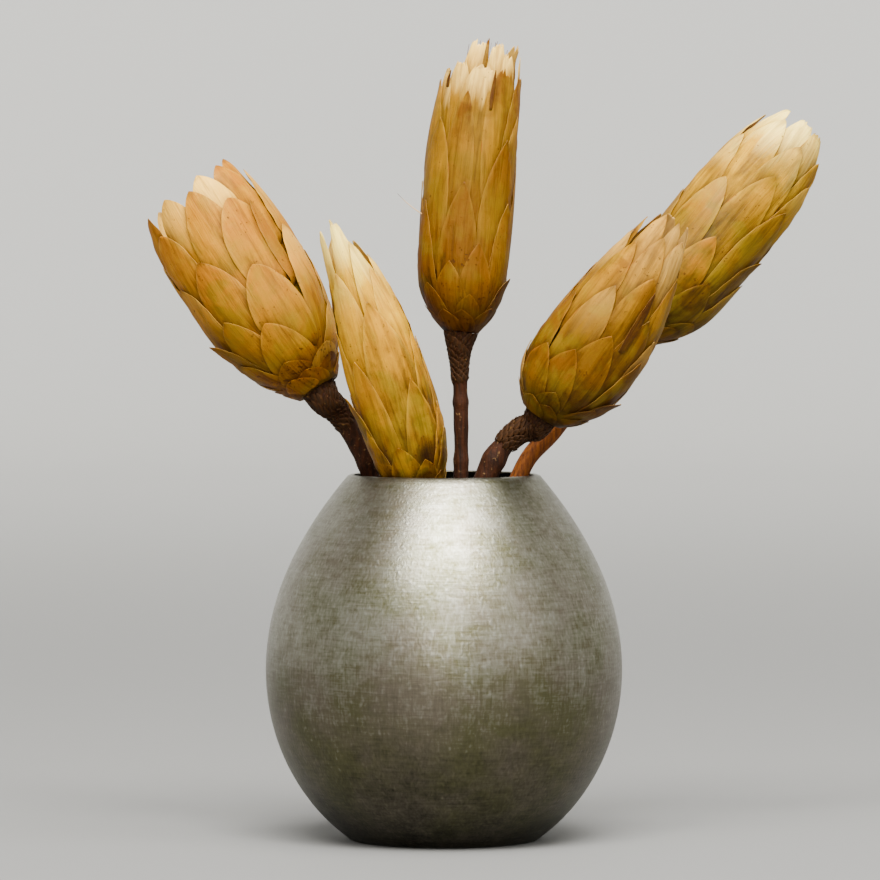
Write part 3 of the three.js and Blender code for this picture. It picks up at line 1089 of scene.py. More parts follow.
    def _cup(self, draft: Draft) -> None:
        """Adds the cup that the bracts grow from, closed at its base and its floor."""
        outside = np.array([0.0, 0.03, 0.07, 0.12, 0.2, 0.3, 0.4, 0.5, 0.6, 0.7, 0.8])
        inside = np.array([0.8, 0.7, 0.55, 0.4, 0.3])
        inset = 0.2 + (self.cup_inset - 0.2) * np.minimum(outside / 0.3, 1.0)
        outer = self.outline.radius(outside) - inset
        inner = self.outline.radius(inside) - self.cup_inset - self.cup_wall
        height = np.concatenate([[0.0], outside, inside, [0.3]])[:, None]
        radius = np.concatenate([[1e-4], outer, inner, [1e-4]])[:, None]
        turn = turns(self.cup_sides)[None, :]
        blank = np.zeros((len(height), self.cup_sides))
        draft.add(
            self.axis.placed(self._on_head(height, turn, radius)),
            ring_faces(len(height), self.cup_sides),
            leaf=stacked(blank, 20.0, -1.0),
            place=stacked(height, blank, 0.0),
            # painted shade: the cup is half shaded, so what shows of it between bracts looks shaded
            rim=stacked(blank, 0.5, 0.0),
        )

    def piece(self, name: str, finish: Material) -> Object:
        """Makes the head's cup and bracts.

        Args:
            name: The piece's name.
            finish: The bracts' material.

        Returns:
            One object with every bract as a closed skin.
        """
        draft = Draft()
        self._cup(draft)
        bracts = self.spiral.bracts(self.axis, self.seen)
        for place, bract in enumerate(bracts):
            self._blade(bract, bracts[:place], draft)
        return turned_faces_out(draft.piece(name, finish))


def strand(name: str, radius: float, sway: float, finish: Material) -> Object:
    """Makes one hair a metre tall, tapered and lightly swayed, for a tree to shrink and repeat.

    Args:
        name: The object's name.
        radius: Its radius at the foot, in millimetres.
        sway: How far its middle sways.
        finish: Its material.

    Returns:
        The hair, standing on the origin along +Z.
    """
    rings, around = 7, 3
    height = np.linspace(0.0, 1.0, rings)[:, None]
    turn = turns(around)[None, :]
    thick = radius * (1 - 0.72 * height**2)
    points = stacked(thick * np.cos(turn) + sway * np.sin(height * 4.4), thick * np.sin(turn), height / MM)
    draft = Draft()
    draft.add(points, ring_faces(rings, around, closed=True), strand=points * MM)
    return draft.piece(name, finish)


@dataclass(frozen=True)
class Bristle:
    """A single stiff style that stands out of a head, from foot to end in the head's own frame."""

    foot: Point
    end: Point
    radius: float = 0.2
    sag: float = 0.6

    RINGS = 9
    SIDES = 5

    def piece(self, axis: Axis, finish: Material) -> Object:
        """Makes the bristle.

        Args:
            axis: The head that it stands in.
            finish: Its material.

        Returns:
            A thin tapered rod.
        """
        steps = np.linspace(0.0, 1.0, self.RINGS)[:, None]
        line = np.array(self.foot) + np.subtract(self.end, self.foot) * steps
        line = line - np.array([0.0, 0.0, self.sag]) * 4 * steps * (1 - steps)
        turn = turns(self.SIDES)
        way = unit(line[-1] - line[0])
        side = unit(np.cross(way, [0.3, 0.9, 0.1]))
        basis = np.stack([side, np.cross(way, side), way])
        thick = self.radius * (1 - 0.7 * steps[:, :, None])
        rings = line[:, None, :] + (stacked(np.cos(turn), np.sin(turn), 0.0) @ basis)[None] * thick
        marks = stacked(0.0, 0.0, np.repeat(steps, self.SIDES, axis=1))
        draft = Draft()
        draft.add(axis.placed(rings), ring_faces(self.RINGS, self.SIDES, closed=True), strand=marks)
        return draft.piece("bristle", finish)


@dataclass(frozen=True)
class Hair:
    """How one kind of hair grows in a tuft."""

    radius: float
    sway: float
    spread: float  # share of the room in the cup
    least: float  # the shortest hair's share of the longest one's length
    seed: int


class Tuft(Enum):
    """What a tuft of florets is made of."""

    SILK = Hair(0.22, 0.9, 1.0, 0.82, 5)
    STYLES = Hair(0.42, 0.35, 0.8, 0.93, 11)


@dataclass
class Florets:
    """The florets inside a head: a dense tuft of silky hairs with stiffer styles among them."""

    axis: Axis
    outline: Outline
    top: float  # height that the styles reach
    floor: float = 0.31
    wall: float = 6.2  # from the outline to the tuft
    silk: int = 210
    styles: int = 42
    silk_share: float = 0.93  # of the styles' height

    def _tree(self) -> NodeTree:
        """Builds the tree that plants strands on a sunflower spiral and leans the outer ones inwards."""
        tree, put, given = new_tree(
            "tuft_of_florets",
            {
                "Copied": "Object", "Count": 100, "Spread": 0.01, "Floor": 0.02, "Least Height": 0.04,
                "Height": 0.05, "Lean": 0.1, "Seed": 3, "Finish": "Material",
            },
        )
        index = put("GeometryNodeInputIndex")
        turn = put("Math", (index, GOLDEN_ANGLE), operation="MULTIPLY")
        share = put("Math", (index, given["Count"]), operation="DIVIDE")
        root = put("Math", (share,), operation="SQRT")
        reach = put("Math", (root, given["Spread"]), operation="MULTIPLY")
        foot = put("CombineXYZ", {"Y": reach, "Z": given["Floor"]})
        seed = given["Seed"]
        tall, stray = (
            put("FunctionNodeRandomValue", {2: low, 3: high, "Seed": seed}, data_type="FLOAT", out=1)
            for low, high in ((given["Least Height"], given["Height"]), (-0.07, 0.07))
        )
        size = put("CombineXYZ", (1.0, 1.0, tall))
        lean = put("Math", (root, given["Lean"], stray), operation="MULTIPLY_ADD")
        return end_tree(tree, planted(put, given, foot, turn, lean, stray, size), given["Finish"])

    def _tuft(self, kind: Tuft, finish: Material, tree: NodeTree) -> Object:
        """Grows one tuft in the head's own straight frame, in metres."""
        kinds = {Tuft.SILK: (self.silk, self.silk_share), Tuft.STYLES: (self.styles, 1.0)}
        count, share = kinds[kind]
        name = kind.name.lower()
        hair = strand(f"one_{name}", kind.value.radius, kind.value.sway, finish)
        room = float(self.outline.radius(np.array(self.floor)) - self.wall)
        mouth = float(self.outline.radius(np.array(min(self.top, 0.95))) - self.wall)
        tall = (self.top - self.floor) * self.axis.length * share
        spread = room * kind.value.spread
        sizes = {
            "Copied": hair,
            "Count": count,
            "Spread": spread * MM,
            "Floor": self.floor * self.axis.length * MM,
            "Least Height": tall * kind.value.least * MM,
            "Height": tall * MM,
            "Lean": math.atan2(min(spread - mouth, spread), tall),
            "Seed": kind.value.seed,
            "Finish": finish,
        }
        host = grow(linked(name, bpy.data.meshes.new(name)), tree, sizes)
        bpy.data.objects.remove(hair)
        return host

    def piece(self, name: str, silk: Material, style: Material, extra: Sequence[Bristle]) -> Object:
        """Makes the florets of a head.

        Args:
            name: The piece's name.
            silk: The hairs' finish.
            style: The styles' finish.
            extra: Single bristles that stand out of the head.

        Returns:
            One object with two finishes.
        """
        tree = self._tree()
        tufts = [self._tuft(Tuft.SILK, silk, tree), self._tuft(Tuft.STYLES, style, tree)]
        for tuft in tufts:
            move_points(tuft.data, self.axis.placed(points_of(tuft.data)))
        loose = [bristle.piece(self.axis, style) for bristle in extra]
        return turned_faces_out(join_pieces(name, [*tufts, *loose]))


@dataclass
class Stem:
    """A woody stem from the vase's floor to a head, with a neck that is covered in small dry scales.

    Args:
        axis: The head that it carries.
        foot: Where it stands on the vase's floor, to the right and away.
        way: Points of its route, above the foot.
        radius: Its radius below the neck.
        neck_radius: Its radius under the head.
        knots: Leaf nodes, as the distance below the head, height and width of each swelling.
        flare: The length over which the neck widens.
        scales: How many scales cover the neck.
    """

    axis: Axis
    foot: tuple[float, float]
    way: Sequence[Point]
    radius: float
    neck_radius: float
    knots: Sequence[tuple[float, float, float]] = ()
    flare: float = 8.0
    scales: int = 130

    VASE_FLOOR = 2.6
    GAP = 0.3
    STRAIGHT = 5.0
    FLARE_POWER = 1.4
    SIDES = 20
    STEP = 1.4
    FINE_STEP = 0.25
    SCALED = 18.0
    RELIEF = 0.5
    GRAIN = 420.0  # in a metre
    UNEVEN = 0.12
    UNEVEN_RATE = 0.31  # radians to a millimetre

    def _corners(self) -> Array:
        """Gives the route's points, from the foot to just under the head."""
        up = self.axis.directions()[2]
        top = np.array(self.axis.base) - self.GAP * up
        lean = unit(np.array(self.way[0]) - np.array([*self.foot, 0.0]))
        floor = self.VASE_FLOOR + self.GAP + self.radius * math.hypot(lean[0], lean[1])
        return np.array([[*self.foot, floor], *self.way, top - self.STRAIGHT * up, top])

    def route(self) -> Array:
        """Gives a smooth line through the route's points, in even fine steps from the foot to the top."""
        corners = self._corners()
        before, after = 2 * corners[0] - corners[1], 2 * corners[-1] - corners[-2]
        corners = np.concatenate([[before], corners, [after]])
        spans = np.sqrt(np.linalg.norm(np.diff(corners, axis=0), axis=1))
        line = []
        for k in range(1, len(corners) - 2):
            a, b, c, d = corners[k - 1 : k + 3]
            first, middle, last = spans[k - 1 : k + 2]
            leave = ((b - a) / first - (c - a) / (first + middle) + (c - b) / middle) * middle
            arrive = ((c - b) / middle - (d - b) / (middle + last) + (d - c) / last) * middle
            s = np.linspace(0.0, 1.0, 60, endpoint=k == len(corners) - 3)[:, None]
            rising = (3 * (c - b) - 2 * leave - arrive) * s**2
            line.append(b + leave * s + rising + (2 * (b - c) + leave + arrive) * s**3)
        line = np.concatenate(line)
        gone = gone_along(line)
        even = np.linspace(0.0, gone[-1], int(gone[-1] / self.FINE_STEP))
        return stacked(*(np.interp(even, gone, line[:, axis]) for axis in range(3)))

    def girth(self, under: Array) -> Array:
        """Gives the stem's radius at distances below the head."""
        flare = np.exp(-((under / self.flare) ** self.FLARE_POWER))
        plain = self.radius * (1 - flare) + self.neck_radius * flare
        for at, height, width in self.knots:
            plain = plain + height * np.exp(-(((under - at) / width) ** 2))
        uneven = self.UNEVEN * np.sin(under * self.UNEVEN_RATE + self.radius * 9)
        return plain + uneven * (1 - flare)

    def _rod_tree(self) -> NodeTree:
        """Builds the tree that sweeps a round section along a route and roughens it."""
        inputs = {"Sides": 20, "Relief": 0.0003, "Grain": 300.0, "Finish": "Material"}
        tree, put, given = new_tree("woody_stem", inputs)
        line = put("GeometryNodeMeshToCurve", (given["Geometry"],))
        girth = put("GeometryNodeInputNamedAttribute", {"Name": "girth"}, data_type="FLOAT")
        circle = {"Resolution": given["Sides"], "Radius": 1.0}
        section = put("GeometryNodeCurvePrimitiveCircle", circle, mode="RADIUS")
        swept = {"Curve": line, "Profile Curve": section, "Scale": girth, "Fill Caps": True}
        rod = put("GeometryNodeCurveToMesh", swept)
        spot = put("GeometryNodeInputPosition")
        stretched = put("VectorMath", (spot, (1.0, 1.0, 0.3)), operation="MULTIPLY")
        noise = {"Vector": stretched, "Scale": given["Grain"], "Detail": 2.0}
        rough = roughened(put, rod, put("GeometryNodeInputNormal"), noise, given["Relief"])
        return end_tree(tree, rough, given["Finish"])

    def _scale_tree(self) -> NodeTree:
        """Builds the tree that sets scales on a spiral round a straight neck, each with its own size."""
        tree, put, given = new_tree(
            "scales_of_a_neck",
            {
                "Copied": "Object", "Count": 170, "Rise": 0.0001, "Radius": 0.003, "Neck Radius": 0.006,
                "Flare": 0.008, "Flare Power": 1.4, "Tilt": -0.2, "Seed": 2, "Finish": "Material",
            },
        )
        index = put("GeometryNodeInputIndex")
        turn = put("Math", (index, GOLDEN_ANGLE), operation="MULTIPLY")
        rise = put("Math", (index, given["Rise"]), operation="MULTIPLY")
        share = put("Math", (rise, given["Flare"]), operation="DIVIDE")
        fall = put("Math", (share, given["Flare Power"]), operation="POWER")
        flare = put("Math", (1 / math.e, fall), operation="POWER")
        reach = put("MapRange", (flare, 0.0, 1.0, given["Radius"], given["Neck Radius"]))
        down = put("Math", (rise, -1.0), operation="MULTIPLY")
        root = put("CombineXYZ", {"Y": reach, "Z": down})
        seed = given["Seed"]
        size, stray = (
            put("FunctionNodeRandomValue", {2: low, 3: high, "Seed": seed}, data_type="FLOAT", out=1)
            for low, high in ((0.7, 1.15), (-0.3, 0.3))
        )
        tilt = put("Math", (stray, 0.5, given["Tilt"]), operation="MULTIPLY_ADD")
        return end_tree(tree, planted(put, given, root, turn, tilt, stray, size), given["Finish"])

    def _one_scale(self, finish: Material) -> Object:
        """Makes one scale: a small domed leaf, 3 mm long, its root inside the neck and its tip up."""
        rise = np.array([-1.0, -0.35, 0.5, 1.2, 1.75, 2.0])[:, None]
        half = np.array([0.7, 1.05, 1.1, 0.8, 0.4, 0.08])[:, None]
        out = np.array([-0.3, 0.0, 0.24, 0.36, 0.4, 0.34])[:, None]
        aside = np.array([-1.0, -0.5, 0.0, 0.5, 1.0])[None, :]
        outer = out * (1 - 0.55 * aside**2)
        inner = outer - 0.4 * (1 - 0.5 * aside**2)
        rings = there_and_back(*(stacked(half * aside, depth, rise) for depth in (outer, inner)))
        draft = Draft()
        draft.add(rings, leaf_faces(len(rise), 2 * aside.size), grain=rings)
        return draft.piece("one_scale", finish)

    def _bent(self, mesh: Mesh) -> None:
        """Bends a mesh that was made round a straight neck, with its top at the origin, onto the stem."""
        route = self.route()
        ahead = unit(np.gradient(route, axis=0))
        side = unit(np.array([1.0, 0.0, 0.0]) - ahead * ahead[:, :1])
        deep = np.cross(ahead, side)
        local = points_of(mesh)
        steps = np.linalg.norm(np.diff(route, axis=0), axis=1).mean()
        at = np.clip(len(route) - 1 + local[:, 2] / steps, 0, len(route) - 1)
        low = np.minimum(at.astype(int), len(route) - 2)
        part = (at - low)[:, None]
        middle = route[low] * (1 - part) + route[low + 1] * part
        over = np.maximum(local[:, 2:3], 0.0) * ahead[-1]
        move_points(mesh, middle + side[low] * local[:, :1] + deep[low] * local[:, 1:2] + over)

    def piece(self, name: str, finish: Material, scaly: Material) -> Object:
        """Makes the stem.

        Args:
            name: The piece's name.
            finish: The bark.
            scaly: The finish of the neck's scales.

        Returns:
            One object: the stem and its scales.
        """
        route = self.route()
        line = np.concatenate([route[:: int(self.STEP / self.FINE_STEP)], route[-1:]])
        gone = gone_along(line)
        rod = thread(name, line)
        mark(rod.data, "girth", self.girth(gone[-1] - gone) * MM)
        sizes = {"Sides": self.SIDES, "Relief": self.RELIEF * MM, "Grain": self.GRAIN, "Finish": finish}
        grow(rod, self._rod_tree(), sizes)
        mark(rod.data, "grain", points_of(rod.data))
        one = self._one_scale(scaly)
        sizes = {
            "Copied": one,
            "Count": self.scales,
            "Rise": self.SCALED / self.scales * MM,
            "Radius": self.radius * MM,
            "Neck Radius": self.neck_radius * MM,
            "Flare": self.flare * MM,
            "Flare Power": self.FLARE_POWER,
            "Seed": int(self.radius * 100),
            "Finish": scaly,
        }
        scales = grow(linked("scales", bpy.data.meshes.new("scales")), self._scale_tree(), sizes)
        bpy.data.objects.remove(one)
        self._bent(scales.data)
        return turned_faces_out(join_pieces(name, [rod, scales]))


@dataclass
class Vase:
    """An egg-shaped vase spun from sheet: half an ellipse below its widest ring, a parabola above it."""

    height: float = 131.8
    widest_radius: float = 64.3
    widest_height: float = 61.4
    lower_semi_axis: float = 72.0
    upper_taper: float = 9.4e-5  # share of the radius lost per square millimetre above the widest ring
    wall: float = 1.6
    floor: float = 2.6
    foot_round: float = 0.8
    lip_round: float = 0.6
    sides: int = 160
    waver: float = 0.3
    waves: float = 28.0  # in a metre

    def radius(self, height: float) -> float:
        """Gives the outer radius at a height."""
        rise = height - self.widest_height
        if rise < 0:
            return self.widest_radius * math.sqrt(1 - (rise / self.lower_semi_axis) ** 2)
        return self.widest_radius * (1 - self.upper_taper * rise**2)

    def _inner(self, height: float) -> float:
        """Gives the inner radius at a height, one wall in along the outline's normal."""
        slope = self.radius(height + 0.5) - self.radius(height - 0.5)
        return self.radius(height) - self.wall * math.hypot(1.0, slope)

    def profile(self) -> list[tuple[float, float]]:
        """Gives the wall's section as radius and height, from the underside's middle to the floor's."""
        foot = self.radius(0.0)
        section = [(0.0, 0.0), (foot * 0.5, 0.0), (foot - self.foot_round, 0.0)]
        section.append((self.radius(self.foot_round * 0.3) - 0.1, self.foot_round * 0.3))
        outside = np.linspace(self.foot_round, self.height - 0.5, 72)
        section.extend((self.radius(h), float(h)) for h in outside)
        outer, inner = self.radius(self.height), self._inner(self.height)
        for turn in np.radians([30, 60, 90, 120, 150]):
            across = (outer + inner) / 2 + (outer - inner) / 2 * math.cos(turn)
            section.append((across, self.height - self.lip_round + self.lip_round * math.sin(turn)))
        inside = np.linspace(self.height - 0.9, self.floor + 2, 48)
        section.extend((self._inner(h), float(h)) for h in inside)
        return [*section, (self._inner(self.floor) - 2.0, self.floor), (0.0, self.floor)]

    def _tree(self) -> NodeTree:
        """Builds the tree that turns a section round the axis, as on a wheel, with a slight waver."""
        inputs = {"Sides": 160, "Waver": 0.0002, "Waves": 30.0, "Finish": "Material"}
        tree, put, given = new_tree("turned_vase", inputs)
        section = put("GeometryNodeMeshToCurve", (given["Geometry"],))
        circle = {"Resolution": given["Sides"], "Radius": 1e-7}
        hub = put("GeometryNodeCurvePrimitiveCircle", circle, mode="RADIUS")
        wheel = put("GeometryNodeCurveToMesh", {"Curve": hub, "Profile Curve": section})
        merged = put("GeometryNodeMergeByDistance", {"Geometry": wheel, "Distance": 1e-6})
        spot = put("GeometryNodeInputPosition")
        level = put("VectorMath", (spot, (1.0, 1.0, 0.0)), operation="MULTIPLY")
        outward = put("VectorMath", (level,), operation="NORMALIZE")
        noise = {"Vector": spot, "Scale": given["Waves"], "Detail": 1.0}
        return end_tree(tree, roughened(put, merged, outward, noise, given["Waver"]), given["Finish"])

    def piece(self, finish: Material) -> Object:
        """Makes the vase of a finish, as a plain mesh."""
        section = np.array([(radius, -height, 0.0) for radius, height in self.profile()])
        sizes = {"Sides": self.sides, "Waver": self.waver * MM, "Waves": self.waves, "Finish": finish}
        return turned_faces_out(grow(thread("vase_dressed", section), self._tree(), sizes))


@dataclass
class Flower:
    """One flower: its stem, its head of bracts and the florets in it."""

    name: str
    axis: Axis
    outline: Outline
    spiral: Spiral
    seen: Sequence[Seen]
    top: float
    foot: tuple[float, float]
    way: Sequence[Point]
    stem_radius: float
    neck_radius: float
    bract: DriedBract
    knots: Sequence[tuple[float, float, float]] = ()
    bristles: Sequence[Bristle] = ()
    styles: int = 42
    flare: float = 8.0
    pale_stem: bool = False
    relief: float = 1.0

    def build(self, finishes: dict[str, Material]) -> None:
        """Makes the flower's three pieces and seats them on the frame.

        Args:
            finishes: The stem's, the scales' and the florets' finishes by name.
        """
        head = Head(self.axis, self.outline, self.spiral, self.seen, relief=self.relief)
        seat(head.piece(f"head_{self.name}", self.bract.material()), f"bracts_{self.name}")
        florets = Florets(self.axis, self.outline, self.top, styles=self.styles)
        hairs = finishes["floret_silk"], finishes["stiff_style"]
        tuft = florets.piece(f"tuft_{self.name}", *hairs, self.bristles)
        seat(tuft, f"florets_{self.name}")
        sizes = self.foot, self.way, self.stem_radius, self.neck_radius, self.knots, self.flare
        bark = finishes["peeled_bark" if self.pale_stem else "protea_bark"]
        rod = Stem(self.axis, *sizes).piece(f"rod_{self.name}", bark, finishes["neck_scales"])
        seat(rod, f"stem_{self.name}")


def five_flowers() -> list[Flower]:
    """Lists the five flowers from the viewer's left to right, with every size and place of their own."""
    left = Flower(
        name="left",
        axis=Axis((-45.4, 4, 162.6), (-92.9, 16, 235.8), -0.6),
        outline=Outline(8.4, 23.5, 18.3, 0.56, 2.9, 3.2),
        spiral=Spiral(31, 9, 10, 0.075, 0.03, 198.9, 0.68, creamy_from=0.9),
        seen=(
            Seen(0.14, -15, 0.9, 0, 0.1), Seen(0.13, 48, 0.9, 0.2, 0.3), Seen(0.24, -67, 0.8, 0, 0.2),
            Seen(0.31, -6, 1.0, 0, 0.3), Seen(0.37, -66, 0.7, -0.3, 0.2, curl=3.4, curl_over=10.0),
            Seen(0.41, -38, 0.95, 0, 0.35), Seen(0.54, 14, 1.05, 0, 0.45),
            Seen(0.64, 70, 1.0, 0.3, 0.8, length=1.4, root=0.8), Seen(0.67, -27, 1.05, 0, 1.0, length=1.1),
            Seen(0.78, 46, 0.3, -0.4, 1.0, length=0.95, root=0.2, over=0.12), Seen(0.83, 28, 1.05, 0, 1.0),
            Seen(0.86, -53, 1.05, 0, 0.9), Seen(0.94, 0, 1.0, 0, 0.4, length=1.3),
            Seen(0.96, -66, 0.8, -0.15, 0.8), Seen(0.97, -28, 0.95, 0.4, 0.3), Seen(0.98, 42, 0.95, 0, 1.0),
            Seen(1.0, 66, 1.0, 0, 0.9, curl=0.4), Seen(0.98, 16, 0.9, 0.85, 0.0),
        ),
        top=0.9,
        foot=(-9.3, 14.8),
        way=((-26.6, 9.4, 131.4), (-31.6, 7.6, 142.8), (-38.4, 5.7, 154.4)),
        stem_radius=3.3,
        neck_radius=6.2,
        knots=((33.0, 0.35, 3.0),),
        flare=13.0,
        bract=DriedBract(
            "left",
            by_height=(
                (0.0, "#5b3304"), (0.07, "#784c02"), (0.3, "#795301"), (0.55, "#925e01"), (0.8, "#a46c02"),
                (1.0, "#b07912"),
            ),
            blush="#9b5f00", cream="#eebc50", margin="#ba8d33",
        ),
    )
    low = Flower(
        name="low",
        axis=Axis((-8, -13.5, 123.6), (-38.7, -27, 220.1), 1.8),
        outline=Outline(7.6, 14.8, 3.6, 0.36, 2.8, 2.3),
        spiral=Spiral(32, 3, 7.4, 0.07, 0.03, 52.9, 0.86, length=0.6, creamy_from=0.8, slant=-0.05),
        seen=(
            Seen(0.15, 22, 0.8, 0, 0.6), Seen(0.23, 75, 0.8, -0.1, 0.1), Seen(0.22, -14, 0.9, 0, 0.4),
            # the darker tones of the bracts at turns -60, -68 and -42 are painted shade, cast by the left
            # head
            Seen(0.30, -60, 0.9, -0.2, 0.4), Seen(0.43, -68, 0.75, -0.3, 0.1, curl=3.4, curl_over=22.0),
            Seen(0.44, 30, 1.1, 0, 0.2), Seen(0.55, -42, 1.15, -0.12, 0.9), Seen(0.60, 66, 1.0, 0, 0.4),
            Seen(0.74, 8, 1.35, 0, 0.4), Seen(0.86, -36, 1.2, 0.15, 0.5), Seen(0.84, 50, 1.15, 0.1, 0.4),
            Seen(1.01, -68, 0.75, 0.8, 0.2, curl=3.2, curl_over=34.0), Seen(0.95, 34, 1.1, 0.6, 0.2),
            Seen(1.03, -2, 1.1, 0.95, 0.1, torn=2.2), Seen(1.04, -34, 0.9, 0.95, 0.1, torn=2.2),
        ),
        top=0.86,
        foot=(22.2, 1.6),
        way=((0.6, -9.6, 98), (-3.6, -11.6, 110)),
        stem_radius=3.1,
        neck_radius=5.6,
        bract=DriedBract(
            "low",
            by_height=(
                (0.0, "#241302"), (0.14, "#412902"), (0.34, "#724d03"), (0.58, "#ae7903"),
                (0.85, "#c28f0f"), (1.0, "#d0a72b"),
            ),
            blush="#a97003", cream="#ffe078", margin="#cea233", shade=0.3, cream_down=19.0, olive="#847007",
        ),
        relief=0.6,
    )
    tall = Flower(
        name="tall",
        axis=Axis((6.1, 4, 183), (15.2, 9, 284.9), -1.9),
        outline=Outline(6.5, 16.7, 12.8, 0.3, 3.3, 3.5),
        spiral=Spiral(
            33, 8, 7.4, 0.076, 0.028, 230.4, 0.84, length=0.56, blush=0.6, creamy_from=0.9, torn=3.0,
            slant=0.07,
        ),
        seen=(
            Seen(0.13, 10, 0.75, 0, 0.5), Seen(0.16, -52, 0.8, 0, 0.5),
            Seen(0.20, 68, 0.75, -0.3, 0.3, curl=2.2, curl_over=8.0), Seen(0.24, -18, 0.9, -0.1, 0.7),
            Seen(0.31, 18, 1.0, -0.16, 1.0), Seen(0.45, -63, 1.0, 0, 0.4, root=0.95),
            Seen(0.46, 60, 1.0, 0, 0.9), Seen(0.52, -6, 1.05, -0.13, 0.9, root=0.9),
            Seen(0.68, 46, 1.2, 0, 1.0), Seen(0.74, -52, 1.15, 0, 0.3), Seen(0.84, -16, 0.85, -0.2, 1.0),
            Seen(0.92, 19, 0.11, -0.75, 1.0, length=0.3, root=0.1, over=0.05),
            Seen(0.91, -52, 0.12, -0.7, 1.0, length=0.15, root=0.1, over=0.05),
            Seen(0.91, 70, 1.1, 0, 1.0, torn=2.0), Seen(0.88, -76, 1.0, 0, 0.4, torn=1.5),
            Seen(0.93, 36, 1.1, 0, 1.0, torn=4.0), Seen(0.94, 2, 1.4, 0.8, 0.1, torn=4.0, length=1.1),
            Seen(0.945, -34, 1.1, 0.7, 0.2, torn=3.0), Seen(0.92, -60, 0.9, 0.6, 0.2, torn=2.0),
            Seen(1.02, 60, 1.0, 0.3, 0.6, curl=2.4, torn=4.5), Seen(1.03, -14, 0.9, 0.9, 0.1, torn=4.5),
            Seen(1.035, 2, 0.25, -0.4, 1.0, torn=2.0, over=0.03), Seen(1.02, 22, 0.8, 0.9, 0.1, torn=3.5),
            Seen(0.985, 44, 0.8, 0.8, 0.1, torn=3.0),
        ),
        top=1.04,
        styles=14,
        foot=(0.6, 4.9),
        way=((6.1, 5, 131.4), (6.1, 4.6, 152), (5.6, 4.2, 172)),
        stem_radius=2.6,
        neck_radius=6.1,
        knots=((25.0, 0.45, 1.6), (46.0, 0.3, 2.0)),
        bristles=(Bristle((-15.0, -5.5, 40.5), (-25.4, -4.0, 47.6)),),
        bract=DriedBract(
            "tall",
            by_height=(
                (0.0, "#301701"), (0.08, "#5c3600"), (0.3, "#5f3c00"), (0.55, "#6e4e02"), (0.85, "#8b6106"),
                (1.0, "#aa7d26"),
            ),
            blush="#673f00", cream="#f6ca68", margin="#997222", shade=0.35, cream_down=13.0,
            olive="#6d5807",
        ),
        relief=0.55,
    )
    right = Flower(
        name="right",
        axis=Axis((34.9, -22, 153.9), (81.8, -34, 224), 1.6),
        outline=Outline(8.4, 19.2, 6.6, 0.38, 3.6, 1.7),
        spiral=Spiral(29, 4, 7.8, 0.058, 0.034, 301.8, 0.8, length=0.5, blush=0.7, creamy_from=0.97),
        seen=(
            Seen(0.14, -6, 0.8, 0, 0.3), Seen(0.16, 50, 0.8, -0.1, 0.4),
            Seen(0.24, 64, 0.9, -0.15, 0.5, curl=2.8, curl_over=8.0), Seen(0.29, -48, 1.1, 0, 0.9),
            Seen(0.34, -16, 1.1, 0, 0.9), Seen(0.43, 61, 1.0, 0, 0.3), Seen(0.47, 8, 1.15, 0, 0.7),
            Seen(0.52, -65, 0.9, 0, 1.0), Seen(0.60, 40, 1.0, 0, 0.5), Seen(0.65, -21, 0.95, 0.1, 0.2),
            Seen(0.71, 29, 0.22, -0.8, 1.0, length=0.62, root=0.15, over=0.14), Seen(0.76, 18, 1.0, 0, 0.7),
            Seen(0.80, 68, 1.0, 0, 0.4), Seen(0.87, -72, 0.9, 0.3, 0.7), Seen(0.84, -40, 0.9, 0, 0.8),
            Seen(0.92, 0, 0.9, 0.1, 0.6), Seen(0.94, 45, 0.95, 0.35, 0.4, curl=0.7),
            Seen(1.0, -28, 0.8, 0.15, 0.7), Seen(1.0, 20, 0.8, 0.3, 0.5),
        ),
        top=0.86,
        foot=(-18.8, -16.6),
        way=((15.3, -20, 132.4), (21.2, -20.8, 142.8), (28.4, -21.5, 149)),
        stem_radius=4,
        neck_radius=5.9,
        knots=((24.0, 0.6, 3.0), (13.0, -0.9, 6.0)),
        bract=DriedBract(
            "right",
            by_height=(
                (0.0, "#2c1a01"), (0.1, "#3d2800"), (0.3, "#553600"), (0.6, "#714d02"), (0.85, "#996a08"),
                (1.0, "#b07c18"),
            ),
            blush="#633b00", cream="#f4c468", margin="#9c6e1b",
        ),
        relief=0.85,
    )
